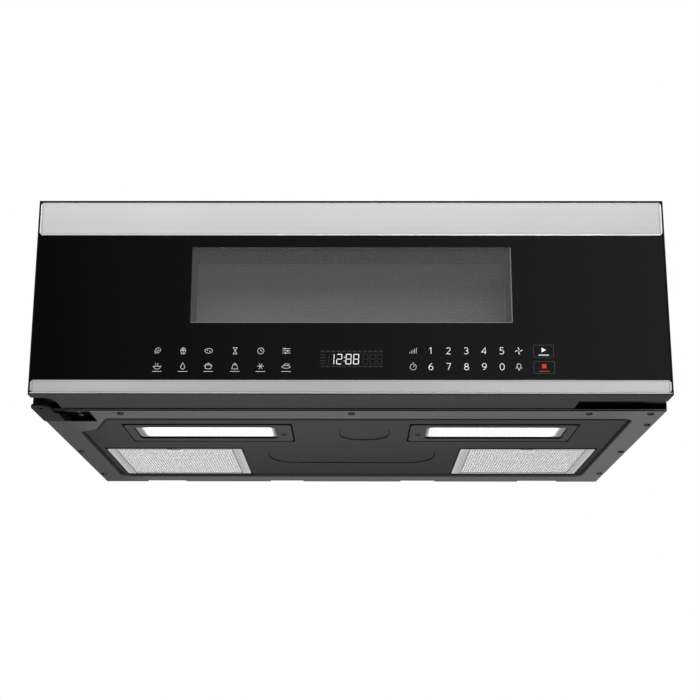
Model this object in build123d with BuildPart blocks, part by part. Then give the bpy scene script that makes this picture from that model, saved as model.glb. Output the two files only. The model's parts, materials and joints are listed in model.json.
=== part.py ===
import os
from math import cos, radians, sin

from build123d import *

# Over the range microwave, in millimetres. X runs along the width, the door faces -Y, Z is up.
# The origin is under the middle of the body, level with the lowest hinge plate.

os.makedirs("parts", exist_ok=True)

# ---- Overall sizes ----
body_width = 759.5
total_depth = 460.0
body_height = 262.0  # from the pan's rim to the cabinet top
sheet = 0.8  # painted cabinet sheet
frame_sheet = 1.2  # front frame
hinge_plate = 3.0  # hinge plates; the lower one lies under the pan's rim
face_gap = 3.0  # between the door's back and the cabinet's front plane
loose = 0.3  # gap round a piece that seats without fastening
running = 0.05  # radial clearance of a shaft in its bearing

# ---- Door ----
door_reveal = 8.0  # body that shows past each side of the door
door_height = 240.0
door_thickness = 57.5
door_lift = 2.5  # above the pan's rim
door_wall = 2.4
door_lip = 2.0  # frame edge that shows round the glass and the strips
strip_depth = 4.0  # recess in the frame's front that takes the glass and the strips
glass_setback = 0.4  # glass face behind the strips' faces
bottom_strip_height = 14.8
top_strip_height = 42.0
strip_corner = 4.0
strip_sheet = 1.2
window_width = 376.0
window_height = 94.2
window_x = 1.0
window_bottom = 86.7  # above the door's bottom edge
window_corner = 3.0
tunnel_depth = 49.0  # from the door's face to the window screen
tunnel_wall = 2.0
screen_margin = 9.0
screen_sheet = 0.6
pocket_length = 103.75  # finger pocket, open to the right, to the rear and downwards
pocket_front = 28.0
pocket_height = 32.0
notch_width = 25.0  # cut-out over the lower hinge plate
notch_front = 15.0
notch_height = 8.0
board_width = 490.0
board_height = 44.0
board_bottom = 21.5
board_x = 2.0
board_sheet = 1.6
display_width = 73.0
display_height = 24.6
display_x = 1.0
display_bottom = 34.5
display_depth = 8.0

# ---- Door hinge ----
pin_inset_x = 12.75  # pin axis from the body's side
pin_inset_y = 40.0  # pin axis behind the door's face
pin_radius = 3.0
pin_length = 25.0
tongue_radius = 11.0
boss_radius = 9.0
hinge_block = 15.0  # height of the bearing blocks in the door
pivot_gap = 0.5  # between the door and the upper hinge plate

# ---- Cavity ----
side_bay = 109.75  # between the cavity and the body's side
cavity_height = 162.0
rear_bay = 97.5  # behind the cavity
cavity_floor = 58.0
cavity_corner = 12.0
choke_side = 28.0  # how far the choke cover reaches past the cavity opening
choke_below = 17.0
choke_above = 20.0
choke_sheet = 2.5

# ---- Latch ----
latch_inset = 59.75  # latch from the body's side
latch_sheet = 2.5
hook_low = 88.0
hook_high = 188.0
hook_height = 9.0
hook_reach = 24.0  # behind the door's back
latch_lift = 3.0
spring_length = 16.0
spring_radius = 3.0
spring_wire = 0.5
spring_turns = 5
spring_slack = 0.2  # free at its ends, in all

# ---- Base pan ----
emboss = 4.5
panel_side = 29.25  # raised panel's edge from the body's side
panel_front = 34.0  # behind the body's front plane
panel_rear = 31.5  # in front of the body's rear
panel_corner = 16.0
pan_lip = 10.0
hinge_pocket_inset = 31.75  # from the body's side
hinge_pocket_width = 33.0
hinge_pocket_depth = 50.0
hinge_pocket_rise = 8.0
bead = 1.5
slot_reach = 6.0
slot_height = 8.0

# ---- Grease filters and cooktop lights ----
filter_width = 186.0
filter_side = 12.5  # from the raised panel's side edge
filter_length = 153.0
filter_rear = 39.0  # from the body's rear
filter_thickness = 9.0
filter_border = 13.0
filter_drop = 0.5  # how far the filter stands below the panel
light_width = 213.0
light_side = 60.5  # from the raised panel's side edge
light_behind = 81.5  # from the body's front
light_length = 80.0
light_corner = 6.0
light_wall = 1.5
light_height = 9.0
lens_inset_inner = 21.0  # lens edges from the cover's edges
lens_inset_outer = 11.0
lens_inset_front = 12.0
lens_length = 56.0
lens_sheet = 1.8
lens_recess = 2.5
part_gap = 1.0  # dark line round a cover in the pan
led_width = 176.0
led_depth = 26.0
led_rise = 12.0

# ---- Exhaust blower ----
blower_behind = 47.6  # blower axis in front of the back panel
blower_drop = 62.0  # blower axis below the cabinet top
wheel_radius = 36.0
wheel_bore = 27.0  # inner radius of the blade ring
wheel_width = 76.0
wheel_ring = 1.5
wheel_offset = 48.0  # wheel's inner end from the middle
blade_count = 28
housing_inner = 44.0
housing_outer = 128.0
housing_wall = 1.0
scroll_right = 45.0
scroll_left = 40.0
scroll_bottom = 43.0
scroll_inlet = 30.0
motor_radius = 26.0
motor_half = 34.0
shaft_radius = 4.0
duct_width = 254.0
duct_depth = 82.6
collar_height = 24.0
collar_flange = 10.0
flap_sheet = 1.0
flap_rise = 7.0

# ---- Turntable ----
tray_clearance = 7.0  # between the tray and the cavity's front and rear
tray_sheet = 4.0
tray_rim = 11.5
roller_radius = 7.0
roller_width = 8.0
roller_orbit = 95.0
ring_radius = 85.0
ring_width = 6.0
ring_height = 5.0
axle_radius = 2.0
drive_radius = 3.95
drive_hole = 8.0

# ---- Magnetron side ----
waveguide_reach = 30.0
waveguide_length = 120.0
waveguide_behind = 132.5  # waveguide's middle in front of the cavity's rear wall
waveguide_height = 80.0
waveguide_bottom = 110.0
yoke_width = 41.0
yoke_length = 80.0
yoke_height = 90.0
yoke_sheet = 2.0
fin_count = 6
fan_radius = 42.0
fan_height = 111.0

# ---- Places worked out from the sizes above ----
front = -total_depth / 2
rear = total_depth / 2
door_back = front + door_thickness
body_front = door_back + face_gap
rim = hinge_plate
rim_top = rim + sheet
panel = rim + emboss
panel_top = panel + sheet
body_top = rim + body_height
roof = body_top - sheet
half = body_width / 2
inner_half = half - sheet
door_width = body_width - 2 * door_reveal
door_half = door_width / 2
pocket_left = door_half - pocket_length
door_bottom = rim + door_lift
door_top = door_bottom + door_height
hinge_x = -half + pin_inset_x
hinge_y = front + pin_inset_y
frame_front = body_front + sheet
frame_back = frame_front + frame_sheet
upper_plate = door_top + pivot_gap
cavity_half = half - side_bay
cavity_top = cavity_floor + cavity_height
cavity_rear = rear - rear_bay
cavity_mid_y = (frame_back + cavity_rear) / 2
chassis = cavity_floor - 2 * sheet
partition = cavity_rear + sheet
blower_y = rear - blower_behind
blower_z = roof - blower_drop + sheet
screen_y = front + tunnel_depth
latch_x = half - latch_inset
panel_half_width = half - panel_side
hinge_pocket_left = half - hinge_pocket_inset
hinge_pocket_right = hinge_pocket_left - hinge_pocket_width
filter_outer = panel_half_width - filter_side
filter_inner = filter_outer - filter_width
filter_back = rear - filter_rear
filter_front = filter_back - filter_length
filter_mid_x = (filter_inner + filter_outer) / 2
filter_mid_y = (filter_front + filter_back) / 2
light_outer = panel_half_width - light_side
light_inner = light_outer - light_width
light_near = body_front + light_behind
light_back = light_near + light_length
light_mid_x = (light_inner + light_outer) / 2
light_mid_y = (light_near + light_back) / 2
tray_radius = (cavity_rear - frame_back) / 2 - tray_clearance


def at_x(x):
    return Plane.YZ.offset(x)


def at_y(y):
    return Plane.XZ.offset(-y)


def at_z(z):
    return Plane.XY.offset(z)


def area(low, high, mode=Mode.ADD):
    # A rectangle between two corners of the sketch plane.
    with Locations(((low[0] + high[0]) / 2, (low[1] + high[1]) / 2)):
        Rectangle(high[0] - low[0], high[1] - low[1], mode=mode)


def rounded_area(low, high, radius, mode=Mode.ADD):
    with Locations(((low[0] + high[0]) / 2, (low[1] + high[1]) / 2)):
        RectangleRounded(high[0] - low[0], high[1] - low[1], radius, mode=mode)


def slab(low, high, mode=Mode.ADD):
    # A rectangular solid between two corners.
    middle = [(a + b) / 2 for a, b in zip(low, high)]
    with Locations(tuple(middle)):
        Box(high[0] - low[0], high[1] - low[1], high[2] - low[2], mode=mode)


def save(builder, label):
    builder.part.label = label
    export_step(builder.part, f"parts/{label}.step")


# ======== Cabinet ========

wrap_flange = 14.0
wrap_corner = 3.0
collar_y = blower_y + (scroll_right - scroll_left + 2 * housing_wall) / 2
bolt_spacing = 560.0
bolt_setback = 49.5  # behind the body's front plane
bolt_y = body_front + bolt_setback
bolt_radius = 3.25
cord_x = half - 79.75
cord_y = rear - 40
cord_hole = 9.0
gland_bore = 5.0
gland_lip = 3.0  # past the hole, above and below the sheet
gland_above = 3.0
gland_below = 4.0

with BuildPart() as cabinet_wrap:
    with BuildSketch(at_y(rear - sheet)):
        area((-half, rim_top), (half, body_top))
        fillet(vertices().group_by(Axis.Y)[-1], wrap_corner)
        offset(amount=-sheet, mode=Mode.SUBTRACT)
        area((-inner_half + wrap_flange, rim_top), (inner_half - wrap_flange, rim_top + sheet),
             mode=Mode.SUBTRACT)
    extrude(amount=rear - sheet - body_front)
    # the front frame passes between the side flanges
    slab(
        (-inner_half, body_front, rim_top),
        (inner_half, frame_back, rim_top + sheet),
        mode=Mode.SUBTRACT,
    )
    with BuildSketch(at_z(roof)):
        with Locations((0, collar_y)):
            Rectangle(duct_width - 2, duct_depth - 2)
        with Locations((-bolt_spacing / 2, bolt_y), (bolt_spacing / 2, bolt_y)):
            Circle(bolt_radius)
        with Locations((cord_x, cord_y)):
            Circle(cord_hole)
    extrude(amount=sheet, mode=Mode.SUBTRACT)
save(cabinet_wrap, "cabinet_wrap")

with BuildPart() as mounting_nuts:
    with BuildSketch(at_z(roof - 8)):
        with Locations((-bolt_spacing / 2, bolt_y), (bolt_spacing / 2, bolt_y)):
            RegularPolygon(8, 6)
            Circle(bolt_radius, mode=Mode.SUBTRACT)
    extrude(amount=8)
save(mounting_nuts, "mounting_nuts")

with BuildPart() as cord_gland:
    for low, depth, radius in (
        (roof - gland_below, gland_below, cord_hole + gland_lip),
        (roof, sheet, cord_hole),
        (body_top, gland_above, cord_hole + gland_lip),
    ):
        with BuildSketch(at_z(low)):
            with Locations((cord_x, cord_y)):
                Circle(radius)
                Circle(gland_bore, mode=Mode.SUBTRACT)
        extrude(amount=depth)
    chamfer(cord_gland.edges().group_by(Axis.Z)[-1].sort_by(SortBy.LENGTH)[-1], 1.0)
save(cord_gland, "cord_gland")

# Four slots along the rear edge hang the body on the tabs of its wall plate.
slot_spans = ((-315.0, -256.0), (-125.0, -74.0), (76.0, 129.0), (257.0, 318.0))

with BuildPart() as back_panel:
    with BuildSketch(at_y(rear)):
        area((-half, rim_top), (half, body_top))
        fillet(vertices().group_by(Axis.Y)[-1], wrap_corner)
        for left, right in slot_spans:
            area((left, rim_top), (right, rim_top + slot_height), mode=Mode.SUBTRACT)
    extrude(amount=sheet)
save(back_panel, "back_panel")


pan_step_x = 24.0  # the panel's edge steps in round the hinge pocket
pan_step_y = 12.0


def panel_outline(rise, inset=0.0):
    # Outline of the raised centre panel, stepped round the hinge pocket.
    left = -panel_half_width
    back = rear - panel_rear
    near = body_front + panel_front
    step_y = body_front + 2 * hinge_pocket_depth
    with BuildSketch(at_z(rise)) as outline:
        with BuildLine():
            FilletPolyline(
                (left, back),
                (-left, back),
                (-left, near),
                (-hinge_pocket_right + pan_step_y, near),
                (left + pan_step_x, step_y - pan_step_y),
                (left, step_y),
                radius=(panel_corner, panel_corner, panel_corner, 8, 12, 6),
                close=True,
            )
        make_face()
        if inset:
            offset(amount=-inset)
    return outline.sketch


pan_side = half - 0.5
emboss_run = 2.8  # the panel's sloped edge, seen from above
near_pad = (17.5, light_mid_y - 2)
near_pad_width = 67.0
near_pad_length = 82.0
near_pad_corner = 30.0
rear_pad = (1.0, rear - 157)
rear_pad_width = 236.0
rear_pad_length = 105.0
rear_pad_corner = 40.0
bead_taper = 30

with BuildPart() as base_pan:
    with BuildSketch(at_z(rim)):
        area((-pan_side, body_front), (pan_side, rear))
        for left, right in slot_spans:
            area((left, rear - slot_reach), (right, rear), mode=Mode.SUBTRACT)
    extrude(amount=sheet)
    slab((-inner_half + loose, body_front, rim), (inner_half - loose, frame_front, rim + pan_lip))
    loft([panel_outline(rim), panel_outline(panel_top, emboss_run)], ruled=True)
    # two shallow pads pressed up out of the centre panel
    with BuildSketch(at_z(panel_top)):
        with Locations(near_pad):
            RectangleRounded(near_pad_width, near_pad_length, near_pad_corner)
        with Locations(rear_pad):
            RectangleRounded(rear_pad_width, rear_pad_length, rear_pad_corner)
    extrude(amount=bead, taper=bead_taper)
    # the hinge pocket
    slab(
        (-hinge_pocket_left - sheet, frame_back, rim),
        (-hinge_pocket_right + sheet, body_front + hinge_pocket_depth, rim + hinge_pocket_rise + sheet),
    )
    loft(
        [panel_outline(rim, sheet), panel_outline(panel, emboss_run + sheet / 2)],
        ruled=True,
        mode=Mode.SUBTRACT,
    )
    with BuildSketch(at_z(panel)):
        with Locations(near_pad):
            RectangleRounded(
                near_pad_width - 2 * sheet, near_pad_length - 2 * sheet, near_pad_corner - sheet
            )
        with Locations(rear_pad):
            RectangleRounded(
                rear_pad_width - 2 * sheet, rear_pad_length - 2 * sheet, rear_pad_corner - sheet
            )
    extrude(amount=bead, taper=bead_taper, mode=Mode.SUBTRACT)
    slab(
        (-hinge_pocket_left, frame_back + sheet, rim),
        (-hinge_pocket_right, body_front + hinge_pocket_depth - sheet, rim + hinge_pocket_rise),
        mode=Mode.SUBTRACT,
    )
    # openings for the grease filters and the light covers
    with BuildSketch(at_z(rim)):
        for side in (-1, 1):
            with Locations((side * filter_mid_x, filter_mid_y)):
                Rectangle(filter_width + 2 * part_gap, filter_length + 2 * part_gap)
            with Locations((side * light_mid_x, light_mid_y)):
                RectangleRounded(
                    light_width + 2 * part_gap,
                    light_length + 2 * part_gap,
                    light_corner + part_gap,
                )
    extrude(amount=emboss + 3 * sheet, mode=Mode.SUBTRACT)
save(base_pan, "base_pan")

# The front frame carries the cavity, the hinges and the latch.
latch_slot_width = 8.0
latch_slot_height = hook_height + latch_lift + 14.0
frame_top = upper_plate

with BuildPart() as front_frame:
    with BuildSketch(at_y(frame_back)):
        area((-inner_half, rim_top), (inner_half, frame_top))
        area((-cavity_half, cavity_floor), (cavity_half, cavity_top), mode=Mode.SUBTRACT)
        for hook in (hook_low, hook_high):
            with Locations((latch_x, hook + hook_height / 2)):
                Rectangle(latch_slot_width, latch_slot_height, mode=Mode.SUBTRACT)
    extrude(amount=frame_sheet)
    slab((-inner_half + 2, frame_back, frame_top - frame_sheet), (inner_half - 2, frame_back + 16, frame_top))
save(front_frame, "front_frame")

lamp_y = cavity_mid_y + 57.5
lamp_z = cavity_top - 42
lamp_radius = 15.0
feed_near = 45.0  # waveguide opening in the cavity's right wall
feed_length = 56.0
feed_height = 60.0
feed_z = waveguide_bottom + waveguide_height / 2
guide_y = cavity_rear - waveguide_behind

with BuildPart() as cavity_liner:
    with BuildSketch(at_z(cavity_floor - sheet)):
        area((-cavity_half - sheet, frame_back), (cavity_half + sheet, partition))
        fillet(vertices().group_by(Axis.Y)[-1], cavity_corner + sheet)
    extrude(amount=cavity_height + 2 * sheet)
    with BuildSketch(at_z(cavity_floor)):
        area((-cavity_half, frame_back), (cavity_half, cavity_rear))
        fillet(vertices().group_by(Axis.Y)[-1], cavity_corner)
    extrude(amount=cavity_height, mode=Mode.SUBTRACT)
    with BuildSketch(at_y(frame_back + sheet)):
        area((-cavity_half - 10, cavity_floor - sheet), (cavity_half + 10, cavity_top + 10))
        area((-cavity_half, cavity_floor - sheet), (cavity_half, cavity_top), mode=Mode.SUBTRACT)
    extrude(amount=sheet)
    with BuildSketch(at_z(cavity_floor - sheet)):
        with Locations((0, cavity_mid_y)):
            Circle(drive_hole)
    extrude(amount=sheet, mode=Mode.SUBTRACT)
    with BuildSketch(at_x(cavity_half)):
        area(
            (guide_y - feed_near, feed_z - feed_height / 2),
            (guide_y - feed_near + feed_length, feed_z + feed_height / 2),
        )
    extrude(amount=sheet, mode=Mode.SUBTRACT)
    with BuildSketch(at_x(-cavity_half - sheet)):
        with Locations((lamp_y, lamp_z)):
            Circle(lamp_radius)
    extrude(amount=sheet, mode=Mode.SUBTRACT)
save(cavity_liner, "cavity_liner")

fan_x = (cavity_half + inner_half) / 2
chassis_half = inner_half - 0.8

with BuildPart() as chassis_plate:
    with BuildSketch(at_x(-chassis_half)):
        area((frame_back, chassis), (partition + sheet, chassis + sheet))
        area((partition, chassis), (partition + sheet, cavity_top + sheet))
    extrude(amount=2 * chassis_half)
    with BuildSketch(at_z(chassis)):
        with Locations((0, cavity_mid_y)):
            Circle(drive_hole)
    extrude(amount=sheet, mode=Mode.SUBTRACT)
    with BuildSketch(at_y(partition + sheet)):
        with Locations((fan_x, fan_height)):
            Circle(fan_radius)
    extrude(amount=sheet, mode=Mode.SUBTRACT)
save(chassis_plate, "chassis_plate")

# Slim grille over the door: one row of slots with a slanted vane in each.
grille_bottom = upper_plate + hinge_plate + loose
grille_depth = 9.0
grille_pitch = 20.0
grille_slot = 16.0
grille_slots = int((2 * inner_half - 30) / grille_pitch)

with BuildPart() as vent_grille:
    with BuildSketch(at_x(-inner_half + wrap_corner)):
        with BuildLine():
            Polyline(
                (body_front + grille_depth, grille_bottom),
                (body_front + 2, grille_bottom),
                (body_front, grille_bottom + 2),
                (body_front, roof),
                (body_front + grille_depth, roof),
                (body_front + grille_depth, roof - 2),
                (body_front + 2, roof - 2),
                (body_front + 2, grille_bottom + 2),
                (body_front + grille_depth, grille_bottom + 2),
                close=True,
            )
        make_face()
    extrude(amount=2 * (inner_half - wrap_corner))
    with BuildSketch(at_y(body_front + 2)):
        with Locations((0, (grille_bottom + roof) / 2)):
            with GridLocations(grille_pitch, 1, grille_slots, 1):
                SlotOverall(grille_slot, 6.0)
    extrude(amount=2, mode=Mode.SUBTRACT)
save(vent_grille, "vent_grille")

# The charcoal filter rests on the frame's top flange and on its own rear legs.
charcoal_half = 180.0
charcoal_depth = 96.0
charcoal_sheet = 12.0

with BuildPart() as charcoal_filter:
    with BuildSketch(at_z(frame_top)):
        rounded_area(
            (-charcoal_half, body_front + grille_depth + 1),
            (charcoal_half, body_front + grille_depth + 1 + charcoal_depth),
            3,
        )
    extrude(amount=charcoal_sheet)
    for side in (-1, 1):
        slab(
            (side * charcoal_half - side * 8 - 4, body_front + charcoal_depth - 4, cavity_top + sheet),
            (side * charcoal_half - side * 8 + 4, body_front + charcoal_depth + 4, frame_top),
        )
save(charcoal_filter, "charcoal_filter")


# ======== Hinges ========

with BuildPart() as lower_hinge_plate:
    with BuildSketch(at_z(0)):
        with Locations((hinge_x, hinge_y)):
            Circle(tongue_radius)
        area((hinge_x - tongue_radius, hinge_y), (hinge_x + tongue_radius, body_front + 37))
        area(
            (hinge_x - tongue_radius, body_front + 2),
            (-hinge_pocket_left + 4, body_front + 37),
        )
    extrude(amount=hinge_plate)
    slab(
        (-hinge_pocket_left + 1, frame_back + 4, hinge_plate),
        (-hinge_pocket_left + 4, body_front + 37, rim + hinge_pocket_rise),
    )
    slab(
        (-hinge_pocket_left + 1, frame_back + 4, rim + hinge_pocket_rise - hinge_plate),
        (-hinge_pocket_right - 3, body_front + 37, rim + hinge_pocket_rise),
    )
    with BuildSketch(at_z(hinge_plate)):
        with Locations((hinge_x, hinge_y)):
            Circle(boss_radius)
    extrude(amount=door_bottom + notch_height - loose - hinge_plate)
    with BuildSketch(at_z(0)):
        with Locations((hinge_x, hinge_y)):
            Circle(pin_radius)
    extrude(amount=hinge_plate + 30, mode=Mode.SUBTRACT)
save(lower_hinge_plate, "lower_hinge_plate")

with BuildPart() as upper_hinge_plate:
    with BuildSketch(at_z(upper_plate)):
        with Locations((hinge_x, hinge_y)):
            Circle(tongue_radius)
        area((hinge_x - tongue_radius, hinge_y), (hinge_x + tongue_radius, body_front))
        rounded_area(
            (hinge_x - tongue_radius, body_front - 6),
            (hinge_x + 40, frame_back + 14),
            4,
        )
        with Locations((hinge_x, hinge_y)):
            Circle(pin_radius, mode=Mode.SUBTRACT)
    extrude(amount=hinge_plate)
save(upper_hinge_plate, "upper_hinge_plate")

lower_pin_top = 1.0 + pin_length
upper_pin_low = upper_plate + hinge_plate - 0.5 - pin_length

with BuildPart() as hinge_pins:
    for low in (1.0, upper_pin_low):
        with BuildSketch(at_z(low)):
            with Locations((hinge_x, hinge_y)):
                Circle(pin_radius)
        extrude(amount=pin_length)
save(hinge_pins, "hinge_pins")

screw_head = 3.6
head_height = 1.6
screw_line_y = body_front + 11
screw_line_x = half - 7.75
left_screw_inset = 71.5  # from the raised panel's edge
right_screw_inset = 62.0
corner_screw_inset = 16.75
near_side_screw = 61.5  # behind the body's front plane
mid_side_screw = 202.5
far_side_screw = 61.0  # in front of the body's rear
pan_screw_spots = (
    (-panel_half_width + left_screw_inset, screw_line_y),
    (1.0, screw_line_y),
    (panel_half_width - right_screw_inset, screw_line_y),
    (half - corner_screw_inset, screw_line_y),
    (screw_line_x, body_front + near_side_screw),
    (screw_line_x, body_front + mid_side_screw),
    (screw_line_x, rear - far_side_screw),
    (-screw_line_x, body_front + mid_side_screw + 1),
    (-screw_line_x, rear - far_side_screw + 6),
)
hinge_bolt_x = -(hinge_pocket_left + hinge_pocket_right) / 2
hinge_bolt_front = 17.0
hinge_bolt_pitch = 13.0
hinge_bolt_spots = (
    (hinge_bolt_x, body_front + hinge_bolt_front),
    (hinge_bolt_x, body_front + hinge_bolt_front + hinge_bolt_pitch),
)

with BuildPart() as cabinet_screws:
    with BuildSketch(at_z(rim - head_height)):
        with Locations(*pan_screw_spots):
            Circle(screw_head)
    extrude(amount=head_height)
    with BuildSketch(at_z(rim + hinge_pocket_rise - hinge_plate - 2 * head_height)):
        with Locations(*hinge_bolt_spots):
            Circle(1.2 * screw_head)
    extrude(amount=2 * head_height)
save(cabinet_screws, "cabinet_screws")


# ======== Door ========

opening_left = window_x - window_width / 2
opening_right = window_x + window_width / 2
opening_low = door_bottom + window_bottom
opening_high = opening_low + window_height
recess_y = front + strip_depth
board_low = door_bottom + board_bottom
display_low = door_bottom + display_bottom
pocket_top = door_bottom + pocket_height
notch_right = -door_half + notch_width

with BuildPart() as door_frame:
    with BuildSketch(at_y(door_back)):
        area((-door_half, door_bottom), (door_half, door_top))
    extrude(amount=door_thickness)
    fillet(edges().filter_by(Axis.Z), 2.0)
    # hollow back
    with BuildSketch(at_y(door_back)):
        area(
            (-door_half + door_wall, door_bottom + door_wall),
            (door_half - door_wall, door_top - door_wall),
        )
    extrude(amount=door_thickness - strip_depth - door_wall, mode=Mode.SUBTRACT)
    # seat of the glass and the strips
    with BuildSketch(at_y(recess_y)):
        area(
            (-door_half + door_lip, door_bottom + door_lip),
            (door_half - door_lip, door_top - door_lip),
        )
    extrude(amount=strip_depth, mode=Mode.SUBTRACT)
    # window tunnel
    with BuildSketch(at_y(screen_y)):
        rounded_area(
            (opening_left - tunnel_wall, opening_low - tunnel_wall),
            (opening_right + tunnel_wall, opening_high + tunnel_wall),
            window_corner + tunnel_wall,
        )
    extrude(amount=screen_y - recess_y)
    with BuildSketch(at_y(screen_y)):
        rounded_area((opening_left, opening_low), (opening_right, opening_high), window_corner)
    extrude(amount=screen_y - recess_y, mode=Mode.SUBTRACT)
    # walls of the finger pocket and of the hinge notch
    slab(
        (pocket_left - door_wall, front + pocket_front - door_wall, door_bottom),
        (door_half, door_back, pocket_top + door_wall),
    )
    slab(
        (-door_half, front + notch_front - door_wall, door_bottom),
        (notch_right + door_wall, door_back, door_bottom + notch_height + door_wall),
    )
    slab(
        (-door_half, hinge_y - 12, door_bottom + notch_height),
        (hinge_x + 12, door_back, door_bottom + notch_height + hinge_block),
    )
    slab(
        (-door_half, hinge_y - 12, door_top - hinge_block - door_wall),
        (hinge_x + 12, door_back, door_top),
    )
    slab(
        (pocket_left, front + pocket_front, door_bottom),
        (door_half, door_back, pocket_top),
        mode=Mode.SUBTRACT,
    )
    with BuildSketch(at_z(door_bottom)):
        area((-door_half, front + notch_front), (notch_right, door_back))
        fillet(vertices().sort_by_distance((notch_right, front + notch_front))[0], 14)
    extrude(amount=notch_height, mode=Mode.SUBTRACT)
    # bearings
    for low, high in ((door_bottom, lower_pin_top + 1), (upper_pin_low - 1, door_top)):
        with BuildSketch(at_z(low)):
            with Locations((hinge_x, hinge_y)):
                Circle(pin_radius + running)
        extrude(amount=high - low, mode=Mode.SUBTRACT)
    # opening for the control board
    with BuildSketch(at_y(recess_y + door_wall)):
        area(
            (board_x - board_width / 2 - 1, board_low - 1),
            (board_x + board_width / 2 + 1, board_low + board_height + 1),
        )
    extrude(amount=door_wall, mode=Mode.SUBTRACT)
save(door_frame, "door_frame")

seat_side = door_half - door_lip
glass_low = door_bottom + door_lip + 0.5 + bottom_strip_height
glass_high = door_top - door_lip - top_strip_height
trim_gap = 0.2

with BuildPart() as door_glass:
    with BuildSketch(at_y(recess_y)):
        area(
            (-seat_side + trim_gap, glass_low + trim_gap),
            (seat_side - trim_gap, glass_high - trim_gap),
        )
    extrude(amount=strip_depth - glass_setback)
save(door_glass, "door_glass")


def trim_strip(low, high, label):
    # A steel strip with rolled edges, hollow at its back.
    with BuildPart() as strip:
        with BuildSketch(at_y(recess_y)):
            rounded_area(
                (-seat_side + trim_gap, low + trim_gap),
                (seat_side - trim_gap, high - trim_gap),
                strip_corner,
            )
        extrude(amount=strip_depth)
        chamfer(edges().group_by(Axis.Y)[0], 0.6)
        with BuildSketch(at_y(recess_y)):
            rounded_area(
                (-seat_side + trim_gap + strip_sheet, low + trim_gap + strip_sheet),
                (seat_side - trim_gap - strip_sheet, high - trim_gap - strip_sheet),
                strip_corner - strip_sheet,
            )
        extrude(amount=strip_depth - strip_sheet, mode=Mode.SUBTRACT)
    save(strip, label)


trim_strip(door_bottom + door_lip + 0.5, glass_low, "bottom_strip")
trim_strip(glass_high, door_top - door_lip, "top_strip")

with BuildPart() as window_screen:
    with BuildSketch(at_y(screen_y + screen_sheet)):
        area(
            (opening_left - screen_margin, opening_low - screen_margin),
            (opening_right + screen_margin, opening_high + screen_margin),
        )
    extrude(amount=screen_sheet)
save(window_screen, "window_screen")

inner_y = door_back - 2.2
bar_front = inner_y - 12.0
bar_back = inner_y - loose
bar_low = hook_low - 22.0
bar_high = hook_high + 22.0
hook_tip = door_back + hook_reach
inner_half_width = door_half - door_wall - loose

with BuildPart() as door_inner_panel:
    with BuildSketch(at_y(inner_y + sheet)):
        area(
            (-inner_half_width, door_bottom + door_wall + loose),
            (inner_half_width, door_top - door_wall - loose),
        )
        area(
            (pocket_left - door_wall - loose, door_bottom),
            (door_half, pocket_top + door_wall + loose),
            mode=Mode.SUBTRACT,
        )
        area(
            (-door_half, door_bottom),
            (notch_right + door_wall + loose, door_bottom + notch_height + hinge_block + loose),
            mode=Mode.SUBTRACT,
        )
        area(
            (-door_half, door_top - hinge_block - door_wall - loose),
            (hinge_x + 12 + loose, door_top),
            mode=Mode.SUBTRACT,
        )
        for hook in (hook_low, hook_high):
            with Locations((latch_x, hook + hook_height / 2)):
                Rectangle(latch_slot_width, latch_slot_height, mode=Mode.SUBTRACT)
    extrude(amount=sheet)
    # pressed frame that holds the screen against the tunnel
    with BuildSketch(at_y(inner_y)):
        area(
            (opening_left - screen_margin, opening_low - screen_margin),
            (opening_right + screen_margin, opening_high + screen_margin),
        )
    extrude(amount=inner_y - screen_y - screen_sheet)
    with BuildSketch(at_y(inner_y + sheet)):
        area(
            (opening_left - screen_margin + sheet, opening_low - screen_margin + sheet),
            (opening_right + screen_margin - sheet, opening_high + screen_margin - sheet),
        )
    extrude(amount=inner_y + sheet - screen_y - screen_sheet, mode=Mode.SUBTRACT)
    # lug at the foot of the latch spring
    slab(
        (latch_x - 5, bar_front - 1, bar_low - spring_length - 2),
        (latch_x + 5, inner_y, bar_low - spring_length),
    )
save(door_inner_panel, "door_inner_panel")

with BuildPart() as choke_cover:
    with BuildSketch(at_y(inner_y + sheet + choke_sheet)):
        rounded_area(
            (-cavity_half - choke_side, cavity_floor - choke_below),
            (cavity_half + choke_side, cavity_top + choke_above),
            8,
        )
        rounded_area(
            (opening_left - screen_margin + 3, opening_low - screen_margin + 3),
            (opening_right + screen_margin - 3, opening_high + screen_margin - 3),
            5,
            mode=Mode.SUBTRACT,
        )
    extrude(amount=choke_sheet)
    chamfer(edges().group_by(Axis.Y)[-1], 0.8)
save(choke_cover, "choke_cover")

with BuildPart() as control_board:
    with BuildSketch(at_y(recess_y + board_sheet)):
        area(
            (board_x - board_width / 2, board_low),
            (board_x + board_width / 2, board_low + board_height),
        )
        area(
            (display_x - display_width / 2 - loose, display_low - loose),
            (display_x + display_width / 2 + loose, display_low + display_height + loose),
            mode=Mode.SUBTRACT,
        )
    extrude(amount=board_sheet)
    for x, width, height in ((-170, 22, 14), (120, 30, 18), (190, 16, 16)):
        slab(
            (x - width / 2, recess_y + board_sheet, board_low + 10),
            (x + width / 2, recess_y + board_sheet + 6, board_low + 10 + height),
        )
save(control_board, "control_board")

with BuildPart() as display_module:
    with BuildSketch(at_y(recess_y + display_depth)):
        area(
            (display_x - display_width / 2, display_low),
            (display_x + display_width / 2, display_low + display_height),
        )
    extrude(amount=display_depth)
save(display_module, "display_module")

# The latch bar slides along the inner panel and carries both hooks.

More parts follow.
